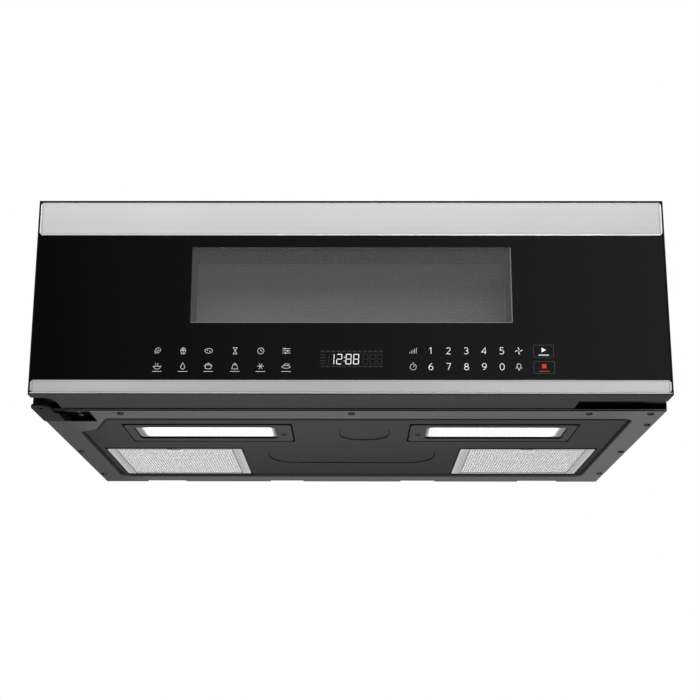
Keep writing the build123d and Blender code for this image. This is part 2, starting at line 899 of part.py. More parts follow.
with BuildPart() as latch_bar:
    with BuildSketch(at_x(latch_x - latch_sheet / 2)):
        area((bar_front, bar_low), (bar_back, bar_high))
        for hook in (hook_low, hook_high):
            with BuildLine():
                Polyline(
                    (bar_back, hook),
                    (hook_tip - 4, hook),
                    (hook_tip - 4, hook - 3),
                    (hook_tip, hook),
                    (hook_tip - 1, hook + hook_height),
                    (bar_back, hook + hook_height),
                    close=True,
                )
            make_face()
    extrude(amount=latch_sheet)
save(latch_bar, "latch_bar")

with BuildPart() as latch_spring:
    spring_y = (bar_front + bar_back) / 2
    coil_height = spring_length - 2 * spring_wire - spring_slack
    coil_foot = bar_low - spring_length + spring_wire + spring_slack / 2
    with BuildLine():
        Helix(
            pitch=coil_height / spring_turns,
            height=coil_height,
            radius=spring_radius,
            center=(latch_x, spring_y, coil_foot),
        )
    with BuildSketch(Plane(origin=(latch_x + spring_radius, spring_y, coil_foot), z_dir=(0, 1, 0))):
        RegularPolygon(spring_wire, 6)
    sweep(is_frenet=True)
save(latch_spring, "latch_spring")

# Interlock: a housing behind the front frame with a pocket for each hook, and its switches.
interlock_half = 22.0
interlock_depth = 40.0
interlock_border = 14.0

with BuildPart() as interlock_unit:
    slab(
        (latch_x - interlock_half, frame_back, hook_low - interlock_border),
        (
            latch_x + interlock_half,
            frame_back + interlock_depth,
            hook_high + hook_height + interlock_border,
        ),
    )
    fillet(edges().filter_by(Axis.Y), 3)
    with BuildSketch(at_y(frame_back + interlock_depth - 6)):
        for hook in (hook_low, hook_high):
            with Locations((latch_x, hook + hook_height / 2)):
                Rectangle(latch_slot_width, latch_slot_height)
    extrude(amount=interlock_depth - 6, mode=Mode.SUBTRACT)
    for z in (hook_low - 4, hook_low + 24, hook_high - 8):
        slab(
            (latch_x + interlock_half, frame_back + 8, z),
            (latch_x + interlock_half + 7, frame_back + 28, z + 16),
        )
save(interlock_unit, "interlock_unit")


# ======== Magnetron side ========

guide_left = cavity_half + sheet
guide_right = guide_left + waveguide_reach
antenna_y = guide_y + 30.0
antenna_hole = 10.0

with BuildPart() as waveguide:
    slab(
        (guide_left, guide_y - waveguide_length / 2, waveguide_bottom),
        (guide_right, guide_y + waveguide_length / 2, waveguide_bottom + waveguide_height),
    )
    slab(
        (guide_left + sheet, guide_y - waveguide_length / 2 + sheet, waveguide_bottom + sheet),
        (
            guide_right - sheet,
            guide_y + waveguide_length / 2 - sheet,
            waveguide_bottom + waveguide_height - sheet,
        ),
        mode=Mode.SUBTRACT,
    )
    with BuildSketch(at_x(guide_left)):
        area(
            (guide_y - feed_near, feed_z - feed_height / 2),
            (guide_y - feed_near + feed_length, feed_z + feed_height / 2),
        )
    extrude(amount=sheet, mode=Mode.SUBTRACT)
    with BuildSketch(at_x(guide_right - sheet)):
        with Locations((antenna_y, feed_z)):
            Circle(antenna_hole)
    extrude(amount=sheet, mode=Mode.SUBTRACT)
save(waveguide, "waveguide")

with BuildPart() as waveguide_cover:
    with BuildSketch(at_x(cavity_half - sheet)):
        rounded_area(
            (guide_y - feed_near - 6, feed_z - feed_height / 2 - 6),
            (guide_y - feed_near + feed_length + 6, feed_z + feed_height / 2 + 6),
            5,
        )
    extrude(amount=sheet)
save(waveguide_cover, "waveguide_cover")

yoke_right = guide_right + yoke_width

with BuildPart() as magnetron_yoke:
    with BuildSketch(at_y(antenna_y + yoke_length / 2)):
        area((guide_right, feed_z - yoke_height / 2), (yoke_right, feed_z + yoke_height / 2))
        offset(amount=-yoke_sheet, mode=Mode.SUBTRACT)
    extrude(amount=yoke_length)
    with BuildSketch(at_x(guide_right)):
        with Locations((antenna_y, feed_z)):
            Circle(antenna_hole)
    extrude(amount=yoke_sheet, mode=Mode.SUBTRACT)
    slab((yoke_right, antenna_y - 25, feed_z - 25), (yoke_right + 24, antenna_y + 25, feed_z + 25))
save(magnetron_yoke, "magnetron_yoke")

core_left = guide_right + yoke_sheet
core_right = yoke_right - yoke_sheet
magnet_sheet = 6.0
fin_sheet = 0.8

with BuildPart() as magnetron_core:
    with BuildSketch(at_x(core_left)):
        with Locations((antenna_y, feed_z)):
            Circle(26)
    extrude(amount=magnet_sheet)
    with BuildSketch(at_x(core_right - magnet_sheet)):
        with Locations((antenna_y, feed_z)):
            Circle(26)
    extrude(amount=magnet_sheet)
    with BuildSketch(at_x(core_left)):
        with Locations((antenna_y, feed_z)):
            Circle(18)
    extrude(amount=core_right - core_left)
    for i in range(fin_count):
        fin_x = core_left + magnet_sheet + (i + 1) * (
            core_right - core_left - 2 * magnet_sheet
        ) / (fin_count + 1)
        with BuildSketch(at_x(fin_x - fin_sheet / 2)):
            with Locations((antenna_y, feed_z)):
                Rectangle(yoke_length - 4, yoke_height - 2 * yoke_sheet - 2 * loose)
        extrude(amount=fin_sheet)
    with BuildSketch(at_x(guide_left + 12)):
        with Locations((antenna_y, feed_z)):
            Circle(7.5)
    extrude(amount=core_left - guide_left - 12)
save(magnetron_core, "magnetron_core")

bay_floor = chassis + sheet
core_width = 76.0
core_depth = 64.0
core_height = 46.0
leg_width = 24.0
window_slot = 14.0
window_slot_height = 26.0
coil_wrap = 12.0
transformer_y = frame_back + interlock_depth + core_depth / 2 + coil_wrap + 3
transformer_x = fan_x + 4

with BuildPart() as transformer:
    with BuildSketch(at_y(transformer_y + core_depth / 2)):
        with Locations((transformer_x, bay_floor + core_height / 2)):
            Rectangle(core_width, core_height)
            with GridLocations(leg_width + window_slot, 1, 2, 1):
                Rectangle(window_slot, window_slot_height, mode=Mode.SUBTRACT)
    extrude(amount=core_depth)
    with BuildSketch(at_z(bay_floor + (core_height - window_slot_height) / 2 + loose)):
        with Locations((transformer_x, transformer_y)):
            RectangleRounded(
                leg_width + 2 * window_slot - 2 * loose,
                core_depth + 2 * coil_wrap,
                6,
            )
            Rectangle(leg_width + 2 * loose, core_depth + 2 * loose, mode=Mode.SUBTRACT)
    extrude(amount=window_slot_height - 2 * loose)
save(transformer, "transformer")

can_width = 50.0
can_height = 30.0
can_length = 80.0
can_corner = 14.0
can_post = 5.0
can_left = guide_left + 14
can_y = transformer_y + core_depth / 2 + coil_wrap + can_width / 2 + 1
can_z = bay_floor + can_height / 2

with BuildPart() as capacitor:
    with BuildSketch(at_x(can_left)):
        with Locations((can_y, can_z)):
            RectangleRounded(can_width, can_height, can_corner)
    extrude(amount=can_length)
    with BuildSketch(at_x(can_left + can_length)):
        with Locations((can_y, can_z)):
            with GridLocations(can_width / 2, 1, 2, 1):
                Circle(can_post)
    extrude(amount=8)
save(capacitor, "capacitor")

filter_board_width = 70.0
filter_board_length = 100.0
filter_board_x = -fan_x - 2.5
filter_board_y = partition - filter_board_length / 2 - 23.3
standoff = 8.0
choke_coil = 16.0

with BuildPart() as noise_filter_board:
    with BuildSketch(at_z(bay_floor)):
        with Locations((filter_board_x, filter_board_y)):
            with GridLocations(filter_board_width - 12, filter_board_length - 12, 2, 2):
                Circle(3)
    extrude(amount=standoff)
    with BuildSketch(at_z(bay_floor + standoff)):
        with Locations((filter_board_x, filter_board_y)):
            Rectangle(filter_board_width, filter_board_length)
    extrude(amount=board_sheet)
    with BuildSketch(at_z(bay_floor + standoff + board_sheet)):
        with Locations((filter_board_x - filter_board_width / 10, filter_board_y - choke_coil)):
            Circle(choke_coil)
            Circle(choke_coil / 2, mode=Mode.SUBTRACT)
        with Locations((filter_board_x - choke_coil, filter_board_y + filter_board_length / 4)):
            Rectangle(12, 26)
        with Locations((filter_board_x + choke_coil, filter_board_y + filter_board_length / 4)):
            Circle(9)
    extrude(amount=14)
save(noise_filter_board, "noise_filter_board")

lamp_x = -cavity_half

with BuildPart() as cavity_lamp:
    for x, radius, reach in (
        (lamp_x - 40, lamp_radius - 2, 40 - 3),
        (lamp_x - sheet - 2.2, lamp_radius + 4, 2.2),
        (lamp_x - sheet, lamp_radius - loose, sheet + 3),
    ):
        with BuildSketch(at_x(x)):
            with Locations((lamp_y, lamp_z)):
                Circle(radius)
        extrude(amount=reach)
    fillet(edges().group_by(Axis.X)[-1], 2)
save(cavity_lamp, "cavity_lamp")

shroud_half = 48.5
shroud_depth = 28.0
shroud_sheet = 1.5
shroud_y = partition - shroud_depth
fan_shaft = 2.5
fan_hub = 9.0
fan_mid_y = shroud_y + 14.0

with BuildPart() as fan_shroud:
    with BuildSketch(at_y(partition)):
        with Locations((fan_x, fan_height)):
            RectangleRounded(2 * shroud_half, 2 * shroud_half, 5)
            RectangleRounded(
                2 * (shroud_half - shroud_sheet), 2 * (shroud_half - shroud_sheet), 4, mode=Mode.SUBTRACT
            )
    extrude(amount=shroud_depth)
    with BuildSketch(at_y(shroud_y + shroud_sheet)):
        with Locations((fan_x, fan_height)):
            RectangleRounded(2 * shroud_half, 2 * shroud_half, 5)
            Circle(fan_radius + 1, mode=Mode.SUBTRACT)
    extrude(amount=shroud_sheet)
save(fan_shroud, "fan_shroud")

with BuildPart() as fan_motor:
    with BuildSketch(at_y(shroud_y - 3)):
        with Locations((fan_x, fan_height)):
            Circle(17)
    extrude(amount=20)
    with BuildSketch(at_y(shroud_y)):
        with Locations((fan_x, fan_height)):
            Circle(17)
            with PolarLocations(32, 3, start_angle=90):
                Rectangle(32, 7)
    extrude(amount=3)
    with BuildSketch(at_y(shroud_y)):
        with Locations((fan_x, fan_height)):
            Circle(fan_shaft + running)
    extrude(amount=10, mode=Mode.SUBTRACT)
save(fan_motor, "fan_motor")

with BuildPart() as fan_blade:
    with BuildSketch(at_y(fan_mid_y + 8)):
        with Locations((fan_x, fan_height)):
            Circle(fan_hub)
    extrude(amount=16)
    with BuildSketch(at_y(shroud_y + 8)):
        with Locations((fan_x, fan_height)):
            Circle(fan_shaft)
    extrude(amount=16)
    with Locations(Plane(origin=(fan_x, fan_mid_y, fan_height), x_dir=(1, 0, 0), z_dir=(0, -1, 0))):
        with PolarLocations(23, 5):
            with Locations(Location((0, 0, 0), (34, 0, 0))):
                Box(30, 23, 1.4)
save(fan_blade, "fan_blade")


# ======== Exhaust blower ========

scroll_top = roof - blower_z
mid_right = (scroll_right + scroll_bottom) / 2 * cos(radians(45))
mid_left = (scroll_left + scroll_bottom) / 2 * cos(radians(45))
tongue_radius_out = scroll_left - 1.5
mouth_left = scroll_right - duct_depth + 0.6


def polar(radius, angle):
    return (radius * cos(radians(angle)), radius * sin(radians(angle)))


def blower_plane(x):
    # Cross-section plane whose centre is on the blower's shaft.
    return Plane(origin=(x, blower_y, blower_z), x_dir=(0, 1, 0), z_dir=(1, 0, 0))


def scroll_outline(x, inset):
    # Spiral round the wheel from the outlet's right wall to the cut-off tongue.
    with BuildSketch(blower_plane(x)) as outline:
        with BuildLine():
            Line((scroll_right, scroll_top), (scroll_right, 0))
            ThreePointArc((scroll_right, 0), (mid_right, -mid_right), (0, -scroll_bottom))
            ThreePointArc((0, -scroll_bottom), (-mid_left, -mid_left), (-scroll_left, 0))
            ThreePointArc(
                (-scroll_left, 0),
                polar(scroll_left - 0.8, 162),
                polar(tongue_radius_out, 142),
            )
            Polyline(
                polar(tongue_radius_out, 142),
                (mouth_left, polar(tongue_radius_out, 142)[1] + 10),
                (mouth_left, scroll_top),
                (scroll_right, scroll_top),
            )
        make_face()
        if inset:
            offset(amount=-inset, kind=Kind.INTERSECTION)
    return outline.sketch


housing_width = housing_outer - housing_inner

with BuildPart() as blower_housings:
    extrude(scroll_outline(housing_inner, 0), amount=housing_width, dir=(1, 0, 0))
    extrude(
        scroll_outline(housing_inner + housing_wall, housing_wall),
        amount=housing_width - 2 * housing_wall,
        dir=(1, 0, 0),
        mode=Mode.SUBTRACT,
    )
    slab(
        (
            housing_inner + housing_wall,
            blower_y + mouth_left + housing_wall,
            roof - housing_wall,
        ),
        (housing_outer - housing_wall, blower_y + scroll_right - housing_wall, roof),
        mode=Mode.SUBTRACT,
    )
    with BuildSketch(blower_plane(housing_inner)):
        Circle(scroll_inlet)
    extrude(amount=housing_width, mode=Mode.SUBTRACT)
    mirror(about=Plane.YZ)
save(blower_housings, "blower_housings")

blade_angles = (0, 3.5, 12)
blade_turn = 1.65


with BuildSketch() as blade:
    # one forward-curved blade between the wheel's inner and outer radius
    with BuildLine():
        ThreePointArc(
            polar(wheel_bore, blade_angles[0]),
            polar((wheel_bore + wheel_radius) / 2, blade_angles[1]),
            polar(wheel_radius, blade_angles[2]),
        )
        Line(
            polar(wheel_radius, blade_angles[2]),
            polar(wheel_radius, blade_angles[2] + blade_turn),
        )
        ThreePointArc(
            polar(wheel_radius, blade_angles[2] + blade_turn),
            polar((wheel_bore + wheel_radius) / 2, blade_angles[1] + blade_turn),
            polar(wheel_bore, blade_angles[0] + blade_turn),
        )
        Line(
            polar(wheel_bore, blade_angles[0] + blade_turn),
            polar(wheel_bore, blade_angles[0]),
        )
    make_face()


def blower_wheel(start, label):
    # Curved blades between two end rings, carried by a centre disc on the shaft.
    with BuildPart() as wheel:
        with BuildSketch(blower_plane(start)):
            with PolarLocations(0, blade_count):
                add(blade.sketch)
        extrude(amount=wheel_width)
        for x in (start, start + wheel_width - wheel_ring):
            with BuildSketch(blower_plane(x)):
                Circle(wheel_radius)
                Circle(wheel_bore, mode=Mode.SUBTRACT)
            extrude(amount=wheel_ring)
        with BuildSketch(blower_plane(start + (wheel_width - wheel_ring) / 2)):
            Circle(wheel_radius)
        extrude(amount=wheel_ring)
        with BuildSketch(blower_plane(start + wheel_width / 2 - 10)):
            Circle(2 * shaft_radius)
        extrude(amount=20)
        with BuildSketch(blower_plane(start)):
            Circle(shaft_radius)
        extrude(amount=wheel_width, mode=Mode.SUBTRACT)
    save(wheel, label)


blower_wheel(wheel_offset, "blower_wheel_right")
blower_wheel(-wheel_offset - wheel_width, "blower_wheel_left")

shaft_stub = 14.0  # past the middle of each wheel
with BuildPart() as blower_shaft:
    with BuildSketch(blower_plane(-wheel_offset - wheel_width / 2 - shaft_stub)):
        Circle(shaft_radius)
    extrude(amount=2 * (wheel_offset + shaft_stub) + wheel_width)
save(blower_shaft, "blower_shaft")

cradle_drop = 29.0

with BuildPart() as blower_motor:
    with BuildSketch(blower_plane(-motor_half)):
        Circle(motor_radius)
    extrude(amount=2 * motor_half)
    fillet(edges().group_by(Axis.X)[0] + edges().group_by(Axis.X)[-1], 4)
    with BuildSketch(blower_plane(-motor_half - 4)):
        Circle(12)
    extrude(amount=2 * motor_half + 8)
    slab(
        (-housing_inner, blower_y - 20, blower_z - cradle_drop - 2),
        (housing_inner, blower_y + 20, blower_z - cradle_drop),
    )
    with BuildSketch(at_z(blower_z - cradle_drop)):
        with Locations((0, blower_y)):
            Rectangle(2 * motor_half - 24, 24)
    extrude(amount=cradle_drop - motor_radius + 3)
    with BuildSketch(blower_plane(-housing_inner)):
        Circle(shaft_radius + running)
    extrude(amount=2 * housing_inner, mode=Mode.SUBTRACT)
save(blower_motor, "blower_motor")

flap_rod = 1.5
flange_reach = 2.5
flap_axis_y = collar_y + duct_depth / 2 - sheet - 5.0
flap_axis_z = body_top + sheet + flap_rise
flap_front = collar_y - duct_depth / 2 + sheet + 0.7

with BuildPart() as exhaust_adapter:
    with BuildSketch(at_z(body_top)):
        with Locations((0, collar_y)):
            Rectangle(duct_width + 2 * collar_flange, duct_depth + 2 * flange_reach)
            Rectangle(duct_width - 2 * sheet, duct_depth - 2 * sheet, mode=Mode.SUBTRACT)
    extrude(amount=sheet)
    with BuildSketch(at_z(body_top)):
        with Locations((0, collar_y)):
            Rectangle(duct_width, duct_depth)
            Rectangle(duct_width - 2 * sheet, duct_depth - 2 * sheet, mode=Mode.SUBTRACT)
    extrude(amount=collar_height)
    slab(
        (-duct_width / 2 + sheet, flap_front - 0.7, flap_axis_z - flap_sheet / 2 - loose - 1),
        (duct_width / 2 - sheet, flap_front + 3, flap_axis_z - flap_sheet / 2 - loose),
    )
    with BuildSketch(at_x(-duct_width / 2)):
        with Locations((flap_axis_y, flap_axis_z)):
            Circle(flap_rod + running)
    extrude(amount=duct_width, mode=Mode.SUBTRACT)
save(exhaust_adapter, "exhaust_adapter")

with BuildPart() as damper_flap:
    with BuildSketch(at_x(-duct_width / 2)):
        with Locations((flap_axis_y, flap_axis_z)):
            Circle(flap_rod)
    extrude(amount=duct_width)
    slab(
        (-duct_width / 2 + sheet + 1, flap_front, flap_axis_z - flap_sheet / 2),
        (duct_width / 2 - sheet - 1, flap_axis_y, flap_axis_z + flap_sheet / 2),
    )
save(damper_flap, "damper_flap")


# ======== Turntable ========

drive_motor_height = 15.0
shaft_grip = 6.0
roller_z = cavity_floor + loose + roller_radius
tray_low = roller_z + roller_radius + loose
coupler_top = tray_low - loose

with BuildPart() as turntable_motor:
    with BuildSketch(at_z(chassis - drive_motor_height)):
        with Locations((0, cavity_mid_y)):
            Circle(25)
    extrude(amount=drive_motor_height)
    with BuildSketch(at_z(chassis - 1.5)):
        with Locations((0, cavity_mid_y)):
            SlotOverall(66, 16)
    extrude(amount=1.5)
    with BuildSketch(at_z(chassis - shaft_grip - 1)):
        with Locations((0, cavity_mid_y)):
            Circle(drive_radius + running)
    extrude(amount=shaft_grip + 1, mode=Mode.SUBTRACT)
save(turntable_motor, "turntable_motor")

with BuildPart() as turntable_coupler:
    with BuildSketch(at_z(chassis - shaft_grip)):
        with Locations((0, cavity_mid_y)):
            Circle(drive_radius)
    extrude(amount=cavity_floor - chassis + shaft_grip + 2)
    with BuildSketch(at_z(cavity_floor + 0.5)):
        with Locations((0, cavity_mid_y)):
            Circle(16)
    extrude(amount=3.5)
    with BuildSketch(at_z(cavity_floor + 4)):
        with Locations((0, cavity_mid_y)):
            Circle(6)
            with PolarLocations(11, 3):
                Circle(4.5)
    extrude(amount=coupler_top - cavity_floor - 4)
save(turntable_coupler, "turntable_coupler")

with BuildPart() as glass_tray:
    with BuildSketch(Plane.XZ.offset(-cavity_mid_y)):
        with BuildLine():
            FilletPolyline(
                (0, tray_low),
                (tray_radius - 16, tray_low),
                (tray_radius, tray_low + tray_rim - tray_sheet),
                (tray_radius, tray_low + tray_rim),
                (tray_radius - tray_sheet, tray_low + tray_rim),
                (tray_radius - 18, tray_low + tray_sheet),
                (0, tray_low + tray_sheet),
                radius=(8, 1.5, 1.5, 1.5, 6),
            )
            Line((0, tray_low + tray_sheet), (0, tray_low))
        make_face()
        area((18, tray_low - 3), (21, tray_low))
    revolve(axis=Axis((0, cavity_mid_y, 0), (0, 0, 1)))
save(glass_tray, "glass_tray")

ring_out = ring_radius + ring_width / 2
roller_start = roller_orbit - roller_width / 2
roller_end = roller_orbit + roller_width / 2
ring_low = roller_z - ring_height / 2
roller_angles = (90, 210, 330)


def radial_plane(angle, reach):
    # Plane facing outwards at a distance from the turntable's axis.
    direction = (cos(radians(angle)), sin(radians(angle)), 0)
    return Plane(
        origin=(reach * direction[0], cavity_mid_y + reach * direction[1], roller_z),
        x_dir=(-direction[1], direction[0], 0),
        z_dir=direction,
    )


with BuildPart() as roller_ring:
    with BuildSketch(at_z(ring_low)):
        with Locations((0, cavity_mid_y)):
            Circle(ring_out)
            Circle(ring_out - ring_width, mode=Mode.SUBTRACT)
    extrude(amount=ring_height)
    for angle in roller_angles:
        for reach, radius, length in (
            (ring_out - 1, axle_radius, roller_end + 2 - ring_out),
            (ring_out - 1, axle_radius + 0.5, roller_start - loose - ring_out + 1),
            (roller_end + loose, axle_radius + 1, 1.2),
        ):
            with BuildSketch(radial_plane(angle, reach)):
                Circle(radius)
            extrude(amount=length)
save(roller_ring, "roller_ring")

for number, angle in enumerate(roller_angles, start=1):
    with BuildPart() as roller:
        with BuildSketch(radial_plane(angle, roller_start)):
            Circle(roller_radius)
            Circle(axle_radius + running, mode=Mode.SUBTRACT)
        extrude(amount=roller_width)
    save(roller, f"roller_{number}")


# ======== Grease filters and cooktop lights ========

filter_low = panel - filter_drop
filter_wall = 1.2
filter_end_border = 4.0
tab_sheet = 1.0
tab_reach = 3.5
hang_gap = panel_top + loose  # underside of the tabs that rest on the pan


def mirrored(builder, label):
    # The same piece on the other side of the body.
    with BuildPart() as other:
        add(builder.part)
        mirror(about=Plane.YZ, mode=Mode.REPLACE)
    save(other, label)


with BuildPart() as filter_frame:
    with BuildSketch(at_z(filter_low)):
        rounded_area((filter_inner, filter_front), (filter_outer, filter_back), 3)
    extrude(amount=filter_thickness)
    with BuildSketch(at_z(filter_low + filter_wall)):
        area(
            (filter_inner + filter_wall, filter_front + filter_wall),
            (filter_outer - filter_wall, filter_back - filter_wall),
        )
    extrude(amount=filter_thickness, mode=Mode.SUBTRACT)
    with BuildSketch(at_z(filter_low)):
        area(
            (filter_inner + filter_border, filter_front + filter_end_border),
            (filter_outer - filter_border, filter_back - filter_end_border),
        )
    extrude(amount=filter_wall, mode=Mode.SUBTRACT)
    for x in (filter_inner + 30, filter_outer - 30):
        slab(
            (x - 10, filter_back - filter_wall, hang_gap),
            (x + 10, filter_back + tab_reach, hang_gap + tab_sheet),
        )
    # finger loop on the front edge
    with BuildSketch(at_z(filter_low - 1.4)):
        with Locations((filter_mid_x, filter_front + 4.5)):
            SlotOverall(20, 9)
            SlotOverall(15, 4, mode=Mode.SUBTRACT)
    extrude(amount=1.4)
save(filter_frame, "filter_frame_right")
mirrored(filter_frame, "filter_frame_left")

with BuildPart() as filter_mesh:
    with BuildSketch(at_z(filter_low + filter_wall)):
        area(
            (filter_inner + filter_wall, filter_front + filter_wall),
            (filter_outer - filter_wall, filter_back - filter_wall),
        )
    extrude(amount=filter_thickness - 2 * filter_wall)
save(filter_mesh, "filter_mesh_right")
mirrored(filter_mesh, "filter_mesh_left")

light_low = panel - filter_drop
lens_inner = light_inner + lens_inset_inner
lens_outer = light_outer - lens_inset_outer
lens_front = light_near + lens_inset_front
lens_back = lens_front + lens_length

with BuildPart() as light_cover:
    with BuildSketch(at_z(light_low)):
        rounded_area((light_inner, light_near), (light_outer, light_back), light_corner)
    extrude(amount=light_height)
    with BuildSketch(at_z(light_low + lens_recess + lens_sheet)):
        rounded_area(
            (light_inner + light_wall, light_near + light_wall),
            (light_outer - light_wall, light_back - light_wall),
            light_corner - light_wall,
        )
    extrude(amount=light_height, mode=Mode.SUBTRACT)
    with BuildSketch(at_z(light_low)):
        rounded_area((lens_inner, lens_front), (lens_outer, lens_back), 5)
        with Locations((light_inner + 11, light_near + light_length / 2 + 6)):
            Circle(2.2)
    extrude(amount=light_height, mode=Mode.SUBTRACT)
    for y in (light_near + 18, light_back - 18):
        slab(
            (light_outer - light_wall, y - 6, hang_gap),
            (light_outer + tab_reach, y + 6, hang_gap + tab_sheet),
        )
save(light_cover, "light_cover_right")
mirrored(light_cover, "light_cover_left")

with BuildPart() as light_lens:
    with BuildSketch(at_z(light_low + lens_recess)):
        rounded_area(
            (lens_inner + 0.05, lens_front + 0.05), (lens_outer - 0.05, lens_back - 0.05), 5
        )
    extrude(amount=lens_sheet)
    with BuildSketch(at_z(light_low + lens_recess + lens_sheet)):
        rounded_area((lens_inner - 2, lens_front - 2), (lens_outer + 2, lens_back + 2), 6)
    extrude(amount=1)
save(light_lens, "light_lens_right")
mirrored(light_lens, "light_lens_left")

led_mid_x = (lens_inner + lens_outer) / 2
led_mid_y = (lens_front + lens_back) / 2
led_z = panel_top + led_rise

with BuildPart() as led_boards:
    with BuildSketch(at_y(led_mid_y + led_depth / 2)):
        with BuildLine():
            Polyline(
                (light_inner - 16, panel_top),
                (light_inner - 5, panel_top),
                (light_inner - 5, led_z),
                (light_outer + 8, led_z),
                (light_outer + 8, panel_top),
                (light_outer + 19, panel_top),
                (light_outer + 19, panel_top + sheet),
                (light_outer + 8 + sheet, panel_top + sheet),
                (light_outer + 8 + sheet, led_z + sheet),
                (light_inner - 5 - sheet, led_z + sheet),
                (light_inner - 5 - sheet, panel_top + sheet),
                (light_inner - 16, panel_top + sheet),
                close=True,
            )
        make_face()
    extrude(amount=led_depth)
    slab(
        (led_mid_x - led_width / 2, led_mid_y - led_depth / 2 + 2, led_z - board_sheet),
        (led_mid_x + led_width / 2, led_mid_y + led_depth / 2 - 2, led_z),
    )
    mirror(about=Plane.YZ)
save(led_boards, "led_boards")
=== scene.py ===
import json
import math
import bmesh
import bpy
import numpy as np
from mathutils import Matrix, Vector


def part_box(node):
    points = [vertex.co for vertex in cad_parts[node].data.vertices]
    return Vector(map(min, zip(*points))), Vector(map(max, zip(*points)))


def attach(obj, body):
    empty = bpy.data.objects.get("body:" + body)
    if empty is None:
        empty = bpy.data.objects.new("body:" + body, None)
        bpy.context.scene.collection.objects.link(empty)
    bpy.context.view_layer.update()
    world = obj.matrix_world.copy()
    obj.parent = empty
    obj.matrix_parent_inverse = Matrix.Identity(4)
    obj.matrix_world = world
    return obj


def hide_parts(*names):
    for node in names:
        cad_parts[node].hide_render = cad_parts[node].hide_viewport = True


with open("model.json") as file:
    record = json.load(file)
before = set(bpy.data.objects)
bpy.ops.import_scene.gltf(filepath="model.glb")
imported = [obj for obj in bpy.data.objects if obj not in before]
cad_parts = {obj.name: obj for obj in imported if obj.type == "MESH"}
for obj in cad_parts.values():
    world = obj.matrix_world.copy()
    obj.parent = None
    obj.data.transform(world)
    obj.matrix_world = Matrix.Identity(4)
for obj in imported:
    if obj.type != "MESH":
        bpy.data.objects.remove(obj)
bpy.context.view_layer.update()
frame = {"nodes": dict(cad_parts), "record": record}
nodes = frame["nodes"]
slotOfNode = {part["node"]: part["material_slot"] for part in frame["record"]["subparts"]}
mm = 0.001
fullTurn = 6.2832
doorHalf = 0.37
print("stage: frame loaded with", len(nodes), "nodes")

# Camera first: a long lens a little below the body, looking up at the glass and the pan.
cameraPlan = {
    "place": (0.0042, -1.4552, -0.3632), "lens": 57.09, "sensor": 36, "clip": (0.02, 80),
    "yaw": -0.21, "pitch": 11.82, "roll": 0.11, "rise": 0.2,
}


def placeCamera(plan):
    # turned by yaw about z, by a right angle and the pitch about x, then by the roll about its own axis
    camera = bpy.data.objects.new("viewCamera", bpy.data.cameras.new("viewCamera"))
    bpy.context.scene.collection.objects.link(camera)
    turn = Matrix.Rotation(math.radians(-plan["yaw"]), 4, "Z")
    turn = turn @ Matrix.Rotation(math.radians(90 + plan["pitch"]), 4, "X")
    turn = turn @ Matrix.Rotation(math.radians(plan["roll"]), 4, "Z")
    camera.matrix_world = Matrix.Translation(plan["place"]) @ turn
    camera.data.lens = plan["lens"]
    camera.data.sensor_width = plan["sensor"]
    camera.data.shift_y = plan["rise"]
    camera.data.clip_start, camera.data.clip_end = plan["clip"]
    bpy.context.scene.camera = camera


placeCamera(cameraPlan)
bpy.context.scene.view_settings.view_transform = "Standard"


def grey(level, tint=0.0):
    # one colour from a brightness, cooler as tint grows
    return (level, level, level * (1 + tint), 1.0)


class Wire:
    # A socket's output. Its operators add Math nodes beside it.
    def __init__(self, owner, socket):
        self.owner = owner
        self.socket = socket

    def reckon(self, operation, *values):
        return self.owner.node("ShaderNodeMath", {"operation": operation}, dict(enumerate(values)))

    def __add__(self, other):
        return self.reckon("ADD", self, other)

    def __radd__(self, other):
        return self.reckon("ADD", other, self)

    def __sub__(self, other):
        return self.reckon("SUBTRACT", self, other)

    def __rsub__(self, other):
        return self.reckon("SUBTRACT", other, self)

    def __mul__(self, other):
        return self.reckon("MULTIPLY", self, other)

    def __rmul__(self, other):
        return self.reckon("MULTIPLY", other, self)

    def __truediv__(self, other):
        return self.reckon("DIVIDE", self, other)

    def __pow__(self, other):
        return self.reckon("POWER", self, other)

    def __mod__(self, other):
        return self.reckon("FLOORED_MODULO", self, other)

    def __gt__(self, other):
        return self.reckon("GREATER_THAN", self, other)

    def __lt__(self, other):
        return self.reckon("LESS_THAN", self, other)

    def __abs__(self):
        return self.reckon("ABSOLUTE", self)

    def sine(self):
        return self.reckon("SINE", self)

    def most(self, other):
        return self.reckon("MAXIMUM", self, other)

    def least(self, other):
        return self.reckon("MINIMUM", self, other)

    def ease(self, low, high, start=0.0, end=1.0):
        # goes from start at low to end at high along an S curve, and stays there outside
        settings = {"interpolation_type": "SMOOTHSTEP", "clamp": True}
        return self.owner.node("ShaderNodeMapRange", settings, {0: self, 1: low, 2: high, 3: start, 4: end})


class NodeBoard:
    # Any node comes from node(): its type, its settings, then the values or links of its sockets.
    def node(self, kind, settings=None, sockets=None, result=0):
        made = self.tree.nodes.new(kind)
        for name, value in (settings or {}).items():
            setattr(made, name, value)
        for key, value in (sockets or {}).items():
            self.fill(made.inputs[key], value)
        return Wire(self, made.outputs[result])

    def fill(self, socket, value):
        # a wire is linked, anything else becomes the socket's own value
        if isinstance(value, Wire):
            self.tree.links.new(value.socket, socket)
        else:
            socket.default_value = value

    def mix(self, share, first, second):
        # colour first where share is 0, colour second where it is 1
        return self.node("ShaderNodeMix", {"data_type": "RGBA"}, {0: share, 6: first, 7: second}, 2)

    def axes(self, vector):
        # the x, y and z of a vector
        split = self.tree.nodes.new("ShaderNodeSeparateXYZ")
        self.fill(split.inputs[0], vector)
        return [Wire(self, out) for out in split.outputs]


